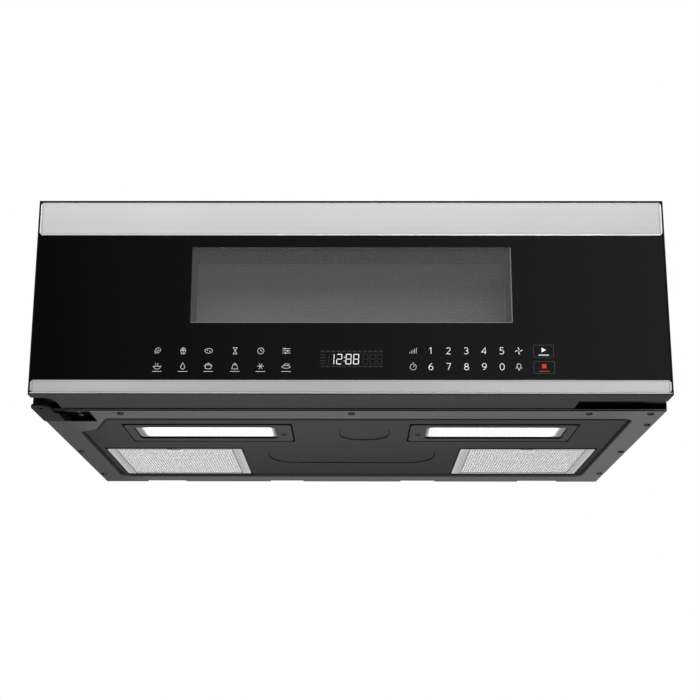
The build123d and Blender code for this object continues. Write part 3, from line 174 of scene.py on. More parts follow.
class Finish(NodeBoard):
    # One material around a Principled shader, whose fixed sockets are set by name.
    def __init__(self, name, fixed=None):
        self.material = bpy.data.materials.new(name)
        self.material.use_nodes = True
        self.tree = self.material.node_tree
        self.tree.nodes.clear()
        self.output = self.tree.nodes.new("ShaderNodeOutputMaterial")
        self.shader = self.tree.nodes.new("ShaderNodeBsdfPrincipled")
        self.tree.links.new(self.shader.outputs[0], self.output.inputs[0])
        for key, value in (fixed or {}).items():
            self.shader.inputs[key].default_value = value

    def feed(self, name, value):
        # one socket of the Principled shader
        self.fill(self.shader.inputs[name], value)

    def shade(self, share, depth=0.002):
        # where share is 1 a matt near-black takes over: painted shade, as in a gap that no light reaches
        dark = self.node("ShaderNodeBsdfDiffuse", {}, {0: grey(depth)})
        bright = Wire(self, self.shader.outputs[0])
        both = self.node("ShaderNodeMixShader", {}, {0: share, 1: bright, 2: dark})
        self.tree.links.new(both.socket, self.output.inputs[0])

    def within(self, spot, low, high):
        # 1 inside an upright box, 0 outside
        inside = 1.0
        for axis, a, b in zip(self.axes(spot), low, high):
            inside = (axis > a) * (axis < b) * inside
        return inside

    def withinAny(self, spot, boxes):
        # the sum over boxes that lie apart, so 1 inside any of them
        inside = 0.0
        for low, high in boxes:
            inside = self.within(spot, low, high) + inside
        return inside

    def place(self, scale=(1, 1, 1), shift=(0, 0, 0)):
        # object coordinates times scale, plus shift
        spot = self.node("ShaderNodeTexCoord", result="Object")
        return self.node("ShaderNodeMapping", {}, {0: spot, 1: shift, 3: scale})

    def noise(self, vector, scale, detail=2.0, rough=0.5):
        # smooth noise from 0 to 1, with about scale lumps to the metre
        sockets = {"Vector": vector, "Scale": scale, "Detail": detail, "Roughness": rough}
        return self.node("ShaderNodeTexNoise", {}, sockets)

    def cells(self, vector, scale, result=0, jitter=1.0):
        # distance to the nearest of about scale spots to the metre, or that spot's random colour
        sockets = {"Vector": vector, "Scale": scale, "Randomness": jitter}
        return self.node("ShaderNodeTexVoronoi", {}, sockets, result)

    def relief(self, height, depth, strength):
        # bump whose height of 1 stands depth metres out
        return self.node("ShaderNodeBump", {}, {"Strength": strength, "Distance": depth, "Height": height})


# Finishes, one function for each kind of surface.
coatPlan = {"peel": (900, 2.0, 0.6), "drift": (5, 3.0, 0.55), "rubScale": (14, 40, 14), "depth": 0.00006}


def coatedSheet(name, shade, rough, shadowBoxes=(), ior=1.45):
    # powder coat: a fine orange peel, a slow drift of the shade, faint rubbed patches; shadow boxes are
    # painted shade, a matt black
    f = Finish(name, {"IOR": ior})
    spot = f.place()
    peel = f.noise(spot, *coatPlan["peel"])
    drift = f.noise(spot, *coatPlan["drift"])
    rub = f.noise(f.place(scale=coatPlan["rubScale"]), 1, 4.0, 0.65).ease(0.55, 0.75)
    f.feed("Base Color", f.mix(drift, grey(shade * 0.86), grey(shade * 1.12)))
    f.feed("Roughness", rough - 0.07 * peel + 0.05 * drift - 0.05 * rub)
    f.feed("Normal", f.relief(peel, coatPlan["depth"], 0.5))
    if shadowBoxes:
        # painted shade: matt black inside the shadow boxes
        f.shade(f.withinAny(spot, shadowBoxes))
    return f


panPlan = {
    "ior": 1.36, "rough": 0.56, "panelShades": (0.003, 0.005), "rimLitShade": 0.0395, "lipHighlight": 0.2,
    # trends and fades are eases: from, to, value at from, value at to
    "rimLeftLight": (-0.36, -0.33, 0.72, 1.02), "rimRightLight": (0.31, 0.35, 0.0, 0.28),
    "panelLightTrend": (0.1, 0.36, 0.0, 1.4),
    "rise": (0.0036, 0.0070), "top": (0.0066, 0.0074), "edgeShadowFade": (0.0, 0.003, 0.6, 0.0),
    "frontFade": (0.001, 0.012, 0.75, 0.0),
    "slopeLow": (0.0036, 0.0042), "slopeHigh": (0.0062, 0.0070, 0.5, 0.0),
    "seamShadowLow": (0.0042, 0.0044), "seamShadowHigh": (0.0050, 0.0053, 1.0, 0.0), "gapFade": (0.6, 1.0, 1.0, 0.0),
    "rearSoot": (-0.08, 0.19, 0.03, 0.24), "leftShade": (-0.345, -0.30, 0.19, 0.0),
    "side": 0.3477, "front": -0.1172, "back": 0.1957, "seam": -0.1692, "padSideShadow": (0.00765, 0.0087, 0.7),
    # the stepped corner: two lines, each by the x and y that are added, their shares and an inset
    "corner": ((0.303, 0.917, 0.1355, 0.399, 0.006), (0.3265, 0.447, 0.0815, 0.894, 0.014)),
    "shadedWell": ((-0.3495, -0.1690, 0.0041), (-0.3140, -0.1185, 0.0130)),
    "openings": ((0.077, -0.088, 0.290, -0.008), (0.152, 0.038, 0.338, 0.191)),
    "gapX": 0.0026, "gapY": 0.0070,
}


def pressedPan(name, plan):
    # the same coat on the pan, with painted light and shade: its shade changes with height, the rim painted
    # lighter than the panel, and along x, both painted lighter towards the right; the front lip's face is a
    # painted highlight; painted shadow lines follow the openings, the front seam and the panel's edge, by the
    # least distance to its straight sides, and painted shade darkens the slopes, the well, the panel's rear
    # and the far left
    f = Finish(name, {"IOR": plan["ior"]})
    spot = f.place()
    x, y, z = f.axes(spot)
    peel = f.noise(spot, *coatPlan["peel"])
    drift = f.noise(spot, *coatPlan["drift"])
    low, high = plan["panelShades"]
    # painted light: the rim is painted lighter than the panel, darker at the far left and lighter at the far
    # right
    rim = plan["rimLitShade"] * (x.ease(*plan["rimLeftLight"]) + x.ease(*plan["rimRightLight"]))
    # painted light: the panel is painted lighter towards the right
    middle = f.mix(drift * 0.6 + x.ease(*plan["panelLightTrend"]), grey(low), grey(high))
    base = f.mix(z.ease(*plan["rise"]), f.mix(rim, grey(0), grey(1)), middle)
    # painted highlight: the front lip's face is painted pale, as lit
    lip = y < plan["seam"]
    f.feed("Base Color", f.mix(lip, base, grey(plan["lipHighlight"])))
    f.feed("Roughness", plan["rough"] - 0.07 * peel + 0.05 * drift)
    f.feed("Normal", f.relief(peel, coatPlan["depth"], 0.5))
    # painted shadow lines round the openings
    openingShadow = 0.0
    for left, near, right, far in plan["openings"]:
        across = (abs(abs(x) - (left + right) / 2) - (right - left) / 2) / plan["gapX"]
        along = (abs(y - (near + far) / 2) - (far - near) / 2) / plan["gapY"]
        openingShadow = across.most(along).ease(*plan["gapFade"]).most(openingShadow)
    # painted shadow line along the panel's edge and its front
    step = [(x + a) * shareX + (y + b) * shareY - inset for a, shareX, b, shareY, inset in plan["corner"]]
    edge = (plan["side"] - abs(x)).least(plan["back"] - y).least(step[0].most(step[1]))
    line = edge.ease(*plan["edgeShadowFade"]).most((y - plan["front"]).ease(*plan["frontFade"]))
    # painted shade on the slopes from rim to panel and on the pads' sides
    padLow, padHigh, padShare = plan["padSideShadow"]
    slope = z.ease(*plan["slopeLow"]) * z.ease(*plan["slopeHigh"])
    slope = slope.most((z > padLow) * (z < padHigh) * padShare)
    # painted shadow: the lip turns matt black at the front seam, all but the band of its lit face
    seamShadow = lip * (1 - z.ease(*plan["seamShadowLow"]) * z.ease(*plan["seamShadowHigh"]))
    top = z.ease(*plan["top"])
    # painted shade: the panel darker towards the rear and at the far left
    paintedShade = (top * y.ease(*plan["rearSoot"])).most(x.ease(*plan["leftShade"]))
    # painted shade: the hinge pocket's well is matt black
    shadedWell = f.within(spot, *plan["shadedWell"])
    f.shade((top * openingShadow.most(line)).most(slope * (1 - lip)).most(seamShadow).most(shadedWell).most(paintedShade))
    return f


def zincSheet(name, shade, rough):
    # galvanised steel: overlapping crystals, each with its own brightness and gloss
    f = Finish(name, {"Metallic": 1.0})
    spot = f.place()
    crystal = f.cells(spot, 75, result="Color")
    level = f.axes(crystal)[0]
    fine = f.noise(f.place(scale=(1, 1, 6)), 160, 3.0)
    f.feed("Base Color", f.mix(level * 0.7 + fine * 0.3, grey(shade * 0.82, 0.03), grey(shade * 1.1, 0.02)))
    f.feed("Roughness", rough - 0.12 * level + 0.10 * fine)
    f.feed("Normal", f.relief(fine, 0.00004, 0.3))
    return f


ventPlan = {
    "pitch": 0.0052, "hole": 0.075, "wall": 0.2685, "y": -0.06, "halfY": 0.0312, "z": 0.160, "halfZ": 0.0208,
}


def bakedEnamel(name, shade, specks, vents):
    # glossy enamel with sparse specks; vents are rows of punched holes in both side walls, each where the
    # squared distance to its middle is under the share called hole
    f = Finish(name, {"Coat Weight": 0.35, "Coat Roughness": 0.08})
    spot = f.place()
    speck = f.cells(spot, 260).ease(0.10, 0.16, 1.0, 0.0) * (f.noise(spot, 40, 1.0) > 0.55)
    wave = f.noise(spot, 26, 2.0)
    x, y, z = f.axes(spot)
    a = (y / vents["pitch"] % 1.0 - 0.5) ** 2.0
    b = (z / vents["pitch"] % 1.0 - 0.5) ** 2.0
    zone = (abs(y - vents["y"]) < vents["halfY"]) * (abs(z - vents["z"]) < vents["halfZ"])
    hole = ((a + b) < vents["hole"]) * (abs(x) > vents["wall"]) * zone
    base = f.mix(speck * specks, grey(shade, -0.04), grey(shade * 0.45))
    f.feed("Base Color", f.mix(hole, base, grey(0.01)))
    f.feed("Roughness", 0.22 + 0.10 * wave + 0.5 * hole)
    f.feed("Normal", f.relief(wave, 0.00025, 0.25))
    return f


stripPlan = {  # the outline of a steel strip: a painted highlight along its rim with a painted shadow line inside it
    "half": 0.36955, "sideScale": 0.55, "rimHighlight": (0.0007, 0.0012, 1.0, 0.0),
    "shadowLineIn": (0.0013, 0.0015), "shadowLineOut": (0.0019, 0.0022, 0.3, 0.0),
}


def brushedMetal(name, shade, rough, lightTrend=(1, 1, 1), heights=None):
    # rolled and brushed along x: long fine lines, wider soft bands and slow blotches, times a painted light
    # trend
    # from left over the middle to right; heights make it a strip, whose outline goes by the distance to its
    # edges:
    # a painted highlight along the rim with a painted shadow line just inside it
    f = Finish(name, {"Metallic": 1.0})
    fine = f.noise(f.place(scale=(3, 1, 2600)), 1, 2.0, 0.7)
    band = f.noise(f.place(scale=(1.2, 1, 320)), 1, 2.0, 0.6)
    blotch = f.noise(f.place(scale=(9, 1, 22)), 1, 2.0, 0.5)
    tone = fine * 0.45 + band * 0.3 + blotch * 0.25
    left, middle, right = lightTrend
    x, y, z = f.axes(f.place())
    # painted light: brighter or darker from left over the middle to right
    level = x.ease(-doorHalf, 0.0, left, middle) * x.ease(0.0, doorHalf, 1.0, right / middle)
    level = level * tone.ease(0.3, 0.7, 0.96, 1.04) * shade
    if heights:
        low, high = heights
        # painted highlight along the strip's outline, a painted shadow line just inside it
        near = ((stripPlan["half"] - abs(x)) * stripPlan["sideScale"]).least(z - low).least(high - z)
        line = near.ease(*stripPlan["shadowLineIn"]) * near.ease(*stripPlan["shadowLineOut"])
        level = level.most(near.ease(*stripPlan["rimHighlight"])) * (1 - line)
    f.feed("Base Color", f.mix(level, grey(0), grey(1)))
    f.feed("Roughness", rough + 0.10 * (fine - 0.5) + 0.05 * (blotch - 0.5))
    f.feed("Normal", f.relief(fine, 0.000012, 0.35))
    return f


def mouldedPlastic(name, colour, rough, grain=1500, depth=0.00004, litZones=(), shadedWell=None, hems=(), ior=1.46):
    # injection moulding: a fine spark-eroded grain and slow flow marks; lit zones are boxes painted a shade
    # of their own as painted light, hems are boxes of steel, the well is a box of painted shade, a matt black
    f = Finish(name, {"IOR": ior})
    spot = f.place()
    pits = f.cells(spot, grain)
    flow = f.noise(f.place(scale=(12, 30, 12)), 1, 3.0)
    dark = tuple(c * 0.86 for c in colour[:3]) + (1.0,)
    light = tuple(min(1.0, c * 1.1) for c in colour[:3]) + (1.0,)
    base = f.mix(flow, dark, light)
    # painted light: each lit zone is painted its own lighter shade
    for low, high, shade in litZones:
        base = f.mix(f.within(spot, low, high), base, grey(shade))
    if hems:
        steel = f.withinAny(spot, hems)
        base = f.mix(steel, base, grey(1.0))
        f.feed("Metallic", steel)
    f.feed("Base Color", base)
    # painted shade: matt black in the well box
    if shadedWell:
        f.shade(f.within(spot, *shadedWell))
    f.feed("Roughness", rough + 0.08 * (flow - 0.5) + 0.06 * pits)
    f.feed("Normal", f.relief(pits, depth, 0.4))
    return f


def platedMetal(name, shade, rough, tint=0.0, lines=(1, 1, 1), matt=0.0):
    # drawn or turned metal: fine marks along the given directions; matt is the share that a dull black takes
    f = Finish(name, {"Metallic": 1.0})
    marks = f.noise(f.place(scale=lines), 420, 3.0, 0.6)
    cloud = f.noise(f.place(), 18, 2.0)
    tone = marks * 0.5 + cloud * 0.5
    f.feed("Base Color", f.mix(tone, grey(shade * 0.8, tint), grey(shade * 1.12, tint)))
    f.feed("Roughness", rough + 0.14 * (marks - 0.5) + 0.06 * (cloud - 0.5))
    f.feed("Normal", f.relief(marks, 0.00002, 0.3))
    if matt:
        f.shade(matt)
    return f


def blackGlass(name):
    # back-painted black glass, polished, with a very slow roller wave
    f = Finish(name, {"IOR": 1.5})
    wave = f.noise(f.place(scale=(5, 5, 9)), 1, 1.0)
    haze = f.noise(f.place(), 60, 2.0)
    f.feed("Base Color", f.mix(haze, grey(0.0008), grey(0.0016)))
    f.feed("Roughness", 0.03 + 0.03 * haze)
    f.feed("Normal", f.relief(wave, 0.00002, 0.2))
    return f


def smokedPane(name, cover, low, right):
    # the clear part of the glass: see-through, with a painted highlight, a pale edge, below a height and
    # right of a place
    f = Finish(name, {"IOR": 1.5})
    haze = f.noise(f.place(), 35, 2.0)
    x, y, z = f.axes(f.place())
    # painted highlight: a pale edge along the bottom and the right
    rim = (z < low).most(x > right)
    f.feed("Base Color", f.mix(rim, f.mix(haze, grey(0.30), grey(0.33)), grey(0.40)))
    f.feed("Roughness", 0.04 + 0.03 * haze)
    f.feed("Alpha", (cover + 0.02 * haze).most(rim * 0.5))
    return f


def perforatedSheet(name, shade, pitch, holes, rowStep=0.866):
    # thin sheet with round holes in rows that are shifted by half a pitch: a hole is where the squared
    # distance to its middle, in pitches, is under holes
    f = Finish(name)
    x, y, z = f.axes(f.place(scale=(1 / pitch, 1, 1 / pitch / rowStep)))
    row = (z % 2.0) > 1.0
    a = ((x + 0.5 * row) % 1.0 - 0.5) ** 2.0
    b = ((z % 1.0 - 0.5) * rowStep) ** 2.0
    gap = (a + b).ease(holes * 0.8, holes * 1.2, 1.0, 0.0)
    drift = f.noise(f.place(), 9, 2.0)
    sheet = f.mix(drift, grey(shade * 0.95), grey(shade * 1.06))
    f.feed("Base Color", f.mix(gap, sheet, grey(shade * 0.35)))
    f.feed("Roughness", 0.5 + 0.2 * gap)
    f.feed("Normal", f.relief(1 - gap, 0.0002, 0.4))
    return f


boardPlan = {
    "pitchOne": 0.0021, "pitchTwo": 0.0025, "fill": 0.4,
    "green": (0.012, 0.085, 0.035, 1), "lit": (0.03, 0.16, 0.06, 1), "tin": (0.55, 0.53, 0.48, 1),
}


def printedBoard(name, plan):
    # green laminate: copper runs under the lacquer, in blocks of one slant or the other, pads and dark parts
    f = Finish(name, {"Coat Weight": 0.4, "Coat Roughness": 0.15})
    spot = f.place()
    x, y, z = f.axes(spot)
    way, kind, tone = f.axes(f.cells(spot, 90, result="Color"))
    runs = ((x + z) / plan["pitchOne"] % 1.0 < plan["fill"]) * (way > 0.5)
    runs = runs + ((y - x + z) / plan["pitchTwo"] % 1.0 < plan["fill"]) * (way < 0.5)
    part = (kind > 0.86).least(f.cells(spot, 90) < 0.45)
    pad = f.cells(spot, 300).ease(0.12, 0.2, 1.0, 0.0) * (tone > 0.6)
    base = f.mix(pad, f.mix(runs, plan["green"], plan["lit"]), plan["tin"])
    f.feed("Base Color", f.mix(part, base, grey(0.02)))
    f.feed("Roughness", 0.35 + 0.3 * part)
    f.feed("Metallic", pad * 0.8)
    f.feed("Normal", f.relief(runs + 3 * part, 0.0002, 0.5))
    return f


def woundCore(name, node, leafPitch=0.0006, wirePitch=0.0011):
    # transformer: laminated steel outside, two copper windings across the middle of its depth
    low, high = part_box(node)
    mid = (low + high) / 2
    f = Finish(name)
    spot = f.place()
    x, y, z = f.axes(spot)
    leaf = (z / leafPitch % 1.0).ease(0.1, 0.3)
    wire = (abs((x - mid.x) / wirePitch % 1.0 - 0.5) * 2).ease(0.1, 0.9)
    coil = abs(z - mid.z) < 0.3 * (high.z - low.z)
    rust = f.noise(spot, 120, 4.0).ease(0.5, 0.75)
    steel = f.mix(leaf, grey(0.03), f.mix(rust, grey(0.16), (0.17, 0.11, 0.07, 1)))
    f.feed("Base Color", f.mix(coil, steel, f.mix(wire, (0.18, 0.06, 0.02, 1), (0.6, 0.27, 0.12, 1))))
    f.feed("Metallic", 0.5 + 0.5 * coil)
    f.feed("Roughness", 0.5 - 0.18 * coil)
    f.feed("Normal", f.relief(leaf * (1 - coil) + wire * coil, 0.0002, 0.6))
    return f


def charcoalBed(name, pitch=0.008):
    # black granules held behind a coarse black net
    f = Finish(name)
    spot = f.place()
    grain = f.cells(spot, 420)
    x, y, z = f.axes(spot)
    net = (abs(x / pitch % 1.0 - 0.5) > 0.44).most(abs(y / pitch % 1.0 - 0.5) > 0.44)
    f.feed("Base Color", f.mix(net, f.mix(grain, grey(0.05), grey(0.012)), grey(0.09)))
    f.feed("Roughness", 0.85 - 0.3 * net)
    f.feed("Normal", f.relief((1 - grain) + 2 * net, 0.0006, 0.7))
    return f


def micaSheet(name):
    # pressed mica: silky flakes lying on each other
    f = Finish(name)
    flake = f.axes(f.cells(f.place(scale=(1, 1.6, 1)), 230, result="Color"))[1]
    vein = f.noise(f.place(), 90, 4.0)
    f.feed("Base Color", f.mix(flake * 0.6 + vein * 0.4, (0.42, 0.34, 0.22, 1), (0.68, 0.6, 0.46, 1)))
    f.feed("Roughness", 0.42 - 0.2 * flake)
    f.feed("Normal", f.relief(flake, 0.00008, 0.4))
    return f


def pressedGlass(name, centre, stippled=(0.045, 0.118), ringTurn=900):
    # clear pressed tray: rings as the sine of the distance to its middle, and a stippled zone
    f = Finish(name, {"Transmission Weight": 1.0, "IOR": 1.5, "Base Color": (0.9, 0.97, 0.95, 1)})
    spot = f.place(shift=(-centre[0], -centre[1], 0))
    x, y, z = f.axes(spot)
    reach = (x * x + y * y) ** 0.5
    stipple = f.cells(spot, 500) * (reach > stippled[0]) * (reach < stippled[1])
    rings = (reach * ringTurn).sine()
    f.feed("Roughness", 0.04 + 0.1 * stipple)
    f.feed("Normal", f.relief(stipple + 0.1 * rings, 0.0002, 0.35))
    return f


def bulbAndSocket(name, node):
    # a lamp node whose foot is a white ceramic socket and whose tip, nearest the middle, is a warm clear bulb
    low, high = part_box(node)
    tip = min(abs(low.x), abs(high.x))
    f = Finish(name)
    x, y, z = f.axes(f.place())
    bulb = abs(x).ease(tip, tip + 0.004, 1.0, 0.0)
    fine = f.noise(f.place(), 300, 3.0)
    f.feed("Base Color", f.mix(bulb, f.mix(fine, grey(0.62), grey(0.74)), (0.95, 0.9, 0.75, 1)))
    f.feed("Roughness", 0.5 - 0.4 * bulb)
    f.feed("Normal", f.relief(fine, 0.00005, 0.3))
    return f


lensPlan = {
    "inner": 0.100, "outer": 0.273, "fadeIn": 0.008, "fadeOut": 0.012, "rear": -0.0245,
    "rib": 0.0022, "strength": 1.3,
}


def glowingLens(name, plan):
    # frosted lens lit from behind: white along its middle, fading to grey at its two ends; past the shaded
    # rear depth it stays unlit grey, a painted shadow line at the rear wall
    f = Finish(name, {"Emission Strength": plan["strength"]})
    spot = f.place()
    x, y, z = f.axes(spot)
    reach = abs(x)
    lit = reach.ease(plan["inner"], plan["inner"] + plan["fadeIn"])
    # painted shade: no light past the shaded rear depth
    lit = lit * reach.ease(plan["outer"] - plan["fadeOut"], plan["outer"], 1.0, 0.0) * (y < plan["rear"])
    frost = f.noise(spot, 700, 2.0)
    ribs = (reach / plan["rib"] * fullTurn).sine() * 0.5 + 0.5
    f.feed("Base Color", f.mix(lit, grey(0.10), f.mix(frost, grey(0.55), grey(0.68))))
    f.feed("Emission Color", f.mix(lit, grey(0.02), f.mix(ribs, grey(0.93), grey(1.0))))
    f.feed("Roughness", 0.35 + 0.2 * frost)
    f.feed("Normal", f.relief(frost + ribs, 0.0001, 0.3))
    return f


ledPlan = {
    "pitch": 0.02, "half": 0.09, "row": -0.048, "rowHalf": 0.0016, "strength": 6.0,
    "phosphor": (0.9, 0.85, 0.4, 1),
}


def ledBoard(name, plan):
    # white aluminium-backed board with a row of chips, one to each pitch along x
    f = Finish(name, {"Emission Strength": plan["strength"]})
    spot = f.place()
    x, y, z = f.axes(spot)
    along = abs(abs(x) / plan["pitch"] % 1.0 - 0.5) < plan["half"]
    chip = along * (abs(y - plan["row"]) < plan["rowHalf"])
    f.feed("Base Color", f.mix(chip, f.mix(f.noise(spot, 200), grey(0.6), grey(0.72)), plan["phosphor"]))
    f.feed("Emission Color", f.mix(chip, grey(0), grey(1)))
    f.feed("Roughness", 0.45 + 0.2 * f.noise(spot, 350))
    return f


def finnedBlock(name, pitch=0.0035):
    # magnetron core: pressed aluminium fins, one to each pitch in height, round a dark magnet
    f = Finish(name)
    spot = f.place()
    x, y, z = f.axes(spot)
    fin = (z / pitch % 1.0).ease(0.2, 0.4) * (z / pitch % 1.0).ease(0.8, 1.0, 1.0, 0.0)
    wear = f.noise(spot, 200, 3.0)
    f.feed("Base Color", f.mix(fin, grey(0.02), f.mix(wear, grey(0.35), grey(0.55))))
    f.feed("Metallic", 0.2 + 0.8 * fin)
    f.feed("Roughness", 0.5 - 0.15 * wear)
    f.feed("Normal", f.relief(fin, 0.0008, 0.7))
    return f


meshPlan = {"pitch": 0.00355, "packLength": 0.0072, "packShade": 0.46, "light": 0.80, "dark": 0.29}


def strandPack(name, plan):
    # crossed aluminium strands under the outer weave: two slanted sets of lines over pitch and length
    f = Finish(name, {"Metallic": 0.1, "Specular IOR Level": 0.2})
    x, y, z = f.axes(f.place())
    a = abs((x / plan["pitch"] + y / plan["packLength"]) % 1.0 - 0.5) * 2
    b = abs((x / plan["pitch"] - y / plan["packLength"]) % 1.0 - 0.5) * 2
    strand = a.most(b).ease(0.55, 0.8)
    drift = f.noise(f.place(), 22, 2.0)
    shade = plan["packShade"]
    f.feed("Base Color", f.mix(strand, grey(shade * 0.75), f.mix(drift, grey(shade * 0.92), grey(shade))))
    f.feed("Roughness", 0.5 - 0.1 * drift)
    f.feed("Normal", f.relief(strand, 0.0006, 0.8))
    return f


def brightWeave(name, plan):
    # drawn strands whose columns of openings shade each other: sine of |x| over the pitch
    f = Finish(name, {"Specular IOR Level": 0.2})
    x, y, z = f.axes(f.place())
    slip = (abs(x) / plan["pitch"] * fullTurn).sine() * 0.5 + 0.5
    marks = f.noise(f.place(scale=(1, 6, 1)), 420, 3.0, 0.6)
    tone = slip.ease(0.1, 0.9) * 0.85 + marks * 0.15
    f.feed("Base Color", f.mix(tone, grey(plan["dark"]), grey(plan["light"])))
    f.feed("Roughness", 0.66 + 0.14 * (marks - 0.5))
    f.feed("Normal", f.relief(marks, 0.00002, 0.3))
    return f


framePlan = {
    "shade": 0.238, "middle": 0.245, "fold": 0.0800, "foldWide": 0.0010, "foldSoft": 0.0002, "foldShadow": 0.6,
    "outerFrom": 0.006, "outerTo": 0.010, "outerLight": 1.18, "loop": 0.0068, "loopLight": 0.55,
}


def filterSheet(name, plan):
    # rolled aluminium: fine lines along y; inside each side border a painted shadow line at the fold and a
    # painted light outer band; a finger loop painted bright
    f = Finish(name, {"Metallic": 0.1, "Specular IOR Level": 0.3})
    x, y, z = f.axes(f.place())
    fine = f.noise(f.place(scale=(6, 900, 6)), 1, 2.0, 0.7)
    blotch = f.noise(f.place(scale=(9, 9, 22)), 1, 2.0, 0.5)
    off = abs(abs(x) - plan["middle"])
    start, soft = plan["fold"], plan["foldSoft"]
    end = start + plan["foldWide"]
    # painted shadow line at the fold and a painted light outer band
    fold = off.ease(start - soft, start) * off.ease(end, end + soft, 1.0, 0.0)
    outer = off.ease(start + plan["outerFrom"], start + plan["outerTo"], 1.0, plan["outerLight"])
    level = plan["shade"] * (fine * 0.5 + blotch * 0.5).ease(0.3, 0.7, 0.94, 1.06) * outer
    level = level * (1 - plan["foldShadow"] * fold)
    # painted light: the finger loop below a height is painted bright
    f.feed("Base Color", f.mix(level.most((z < plan["loop"]) * plan["loopLight"]), grey(0), grey(1)))
    f.feed("Roughness", 0.5 + 0.10 * (fine - 0.5))
    f.feed("Normal", f.relief(fine, 0.000012, 0.35))
    return f


def softRubber(name, shade):
    # matt rubber with a dusty bloom
    f = Finish(name)
    bloom = f.noise(f.place(), 55, 4.0)
    pore = f.noise(f.place(), 1200, 1.0)
    f.feed("Base Color", f.mix(bloom.ease(0.4, 0.8), grey(shade), grey(shade * 2.2)))
    f.feed("Roughness", 0.72 + 0.15 * bloom)
    f.feed("Normal", f.relief(pore, 0.00005, 0.4))
    return f


def screenPrint(name, colour, lift):
    # ink or lit marking on the glass: a fine print screen with a little light of its own
    f = Finish(name, {"Emission Strength": lift})
    dots = f.cells(f.place(), 2500, jitter=0.2)
    ink = f.mix(dots, colour, tuple(c * 0.9 for c in colour[:3]) + (1.0,))
    f.feed("Base Color", ink)
    f.feed("Emission Color", ink)
    f.feed("Roughness", 0.45 + 0.1 * dots)
    return f


# painted shade: the finger pocket in the door is matt black
pocketShadow = ((0.2705, -0.2005, 0.0062), (0.3662, -0.1720, 0.0370))
doorLitZones = (  # painted light: the window's tunnel, its right wall and the pocket's end wall are painted lighter than the plastic
    ((-0.1885, -0.2262, 0.0905), (0.1905, -0.1800, 0.1880), 0.018),
    ((0.1860, -0.2262, 0.0905), (0.1905, -0.1800, 0.1880), 0.06),
    ((0.3664, -0.2005, 0.0062), (0.3676, -0.1720, 0.0370), 0.25),
)
steelHems = (((-0.3695, -0.2301, 0.0067), (0.3695, -0.2290, 0.0083)),)
# painted shade: the hinge pocket and the recess round each light cover's lens are matt black boxes
hingeShadows = (((-0.3520, -0.1710, -0.0010), (-0.3160, -0.1300, 0.0140)),)
coverShadows = (
    ((-0.2795, -0.0765, 0.0072), (-0.0975, -0.0195, 0.0094)),
    ((0.0975, -0.0765, 0.0072), (0.2795, -0.0195, 0.0094)),
)
doorBlack = {"litZones": doorLitZones, "shadedWell": pocketShadow, "hems": steelHems, "ior": 1.32}
finishes = {
    "pan_paint": pressedPan("panPaint", panPlan),
    "cabinet_paint": coatedSheet("cabinetPaint", 0.022, 0.42),
    "galvanised": zincSheet("zincSheet", 0.60, 0.42),
    "cavity_enamel": bakedEnamel("cavityEnamel", 0.62, 0.7, ventPlan),
    "brushed_steel": brushedMetal("brushedSteel", 0.66, 0.46),
    "hinge_steel": coatedSheet("hingeBlack", 0.003, 0.8, hingeShadows, 1.25),
    "pin_steel": platedMetal("groundPin", 0.62, 0.22, lines=(4, 4, 0.5)),
    "screw_steel": platedMetal("darkZinc", 0.09, 0.35, matt=0.75),
    "black_glass": blackGlass("blackGlass"),
    "door_plastic": mouldedPlastic("doorPlastic", grey(0.0045), 0.6, **doorBlack),
    "screen_metal": perforatedSheet("perforatedScreen", 0.25, 0.0021, 0.075),
    "choke_plastic": mouldedPlastic("chokePlastic", grey(0.03), 0.42, 1100),
    "board_green": printedBoard("printedBoard", boardPlan),
    "display_black": mouldedPlastic("smokedDisplay", grey(0.006), 0.12, 900, 0.00001),
    "white_plastic": mouldedPlastic("whiteMoulding", (0.78, 0.78, 0.75, 1), 0.42),
    "grey_plastic": mouldedPlastic("greyMoulding", grey(0.16, 0.04), 0.48),
    "spring_steel": platedMetal("springWire", 0.55, 0.3, lines=(1, 1, 5)),
    "filter_aluminium": filterSheet("rolledAluminium", framePlan),
    "filter_mesh": strandPack("strandPack", meshPlan),
    "lens_plastic": glowingLens("litLens", lensPlan),
    "charcoal": charcoalBed("charcoalBed"),
    "mica": micaSheet("micaSheet"),
    "magnet_black": finnedBlock("finnedCore"),
    "core_steel": woundCore("woundCore", "transformer"),
    "capacitor_can": platedMetal("drawnCan", 0.66, 0.3, lines=(6, 6, 0.4)),
    "motor_steel": platedMetal("motorShell", 0.40, 0.36, 0.02),
    "tray_glass": pressedGlass("pressedGlass", (0.0, -0.0175)),
    "lamp_glass": bulbAndSocket("bulbAndSocket", "cavity_lamp"),
    "black_rubber": softRubber("blackRubber", 0.02),
}
coverPaint = coatedSheet("coverPaint", 0.008, 0.52, coverShadows, 1.38)
ownFinish = {  # nodes that differ from the rest of their slot
    "led_boards": ledBoard("ledBoard", ledPlan),
    "light_cover_left": coverPaint,
    "light_cover_right": coverPaint,
    # painted light: the two strips are one steel, given lit copies with their own shades and light trends
    "top_strip": brushedMetal("topSteel", 0.63, 0.46, (1.06, 0.93, 0.91), (0.2017, 0.2433)),
    "bottom_strip": brushedMetal("bottomSteel", 0.685, 0.46, (1.25, 1.0, 1.16), (0.0070, 0.0226)),
}
weaveFinish = brightWeave("brightWeave", meshPlan)

for node, piece in nodes.items():
    finish = ownFinish.get(node) or finishes[slotOfNode[node]]
    piece.data.materials.clear()
    piece.data.materials.append(finish.material)
print("stage: finishes on", len(nodes), "nodes")


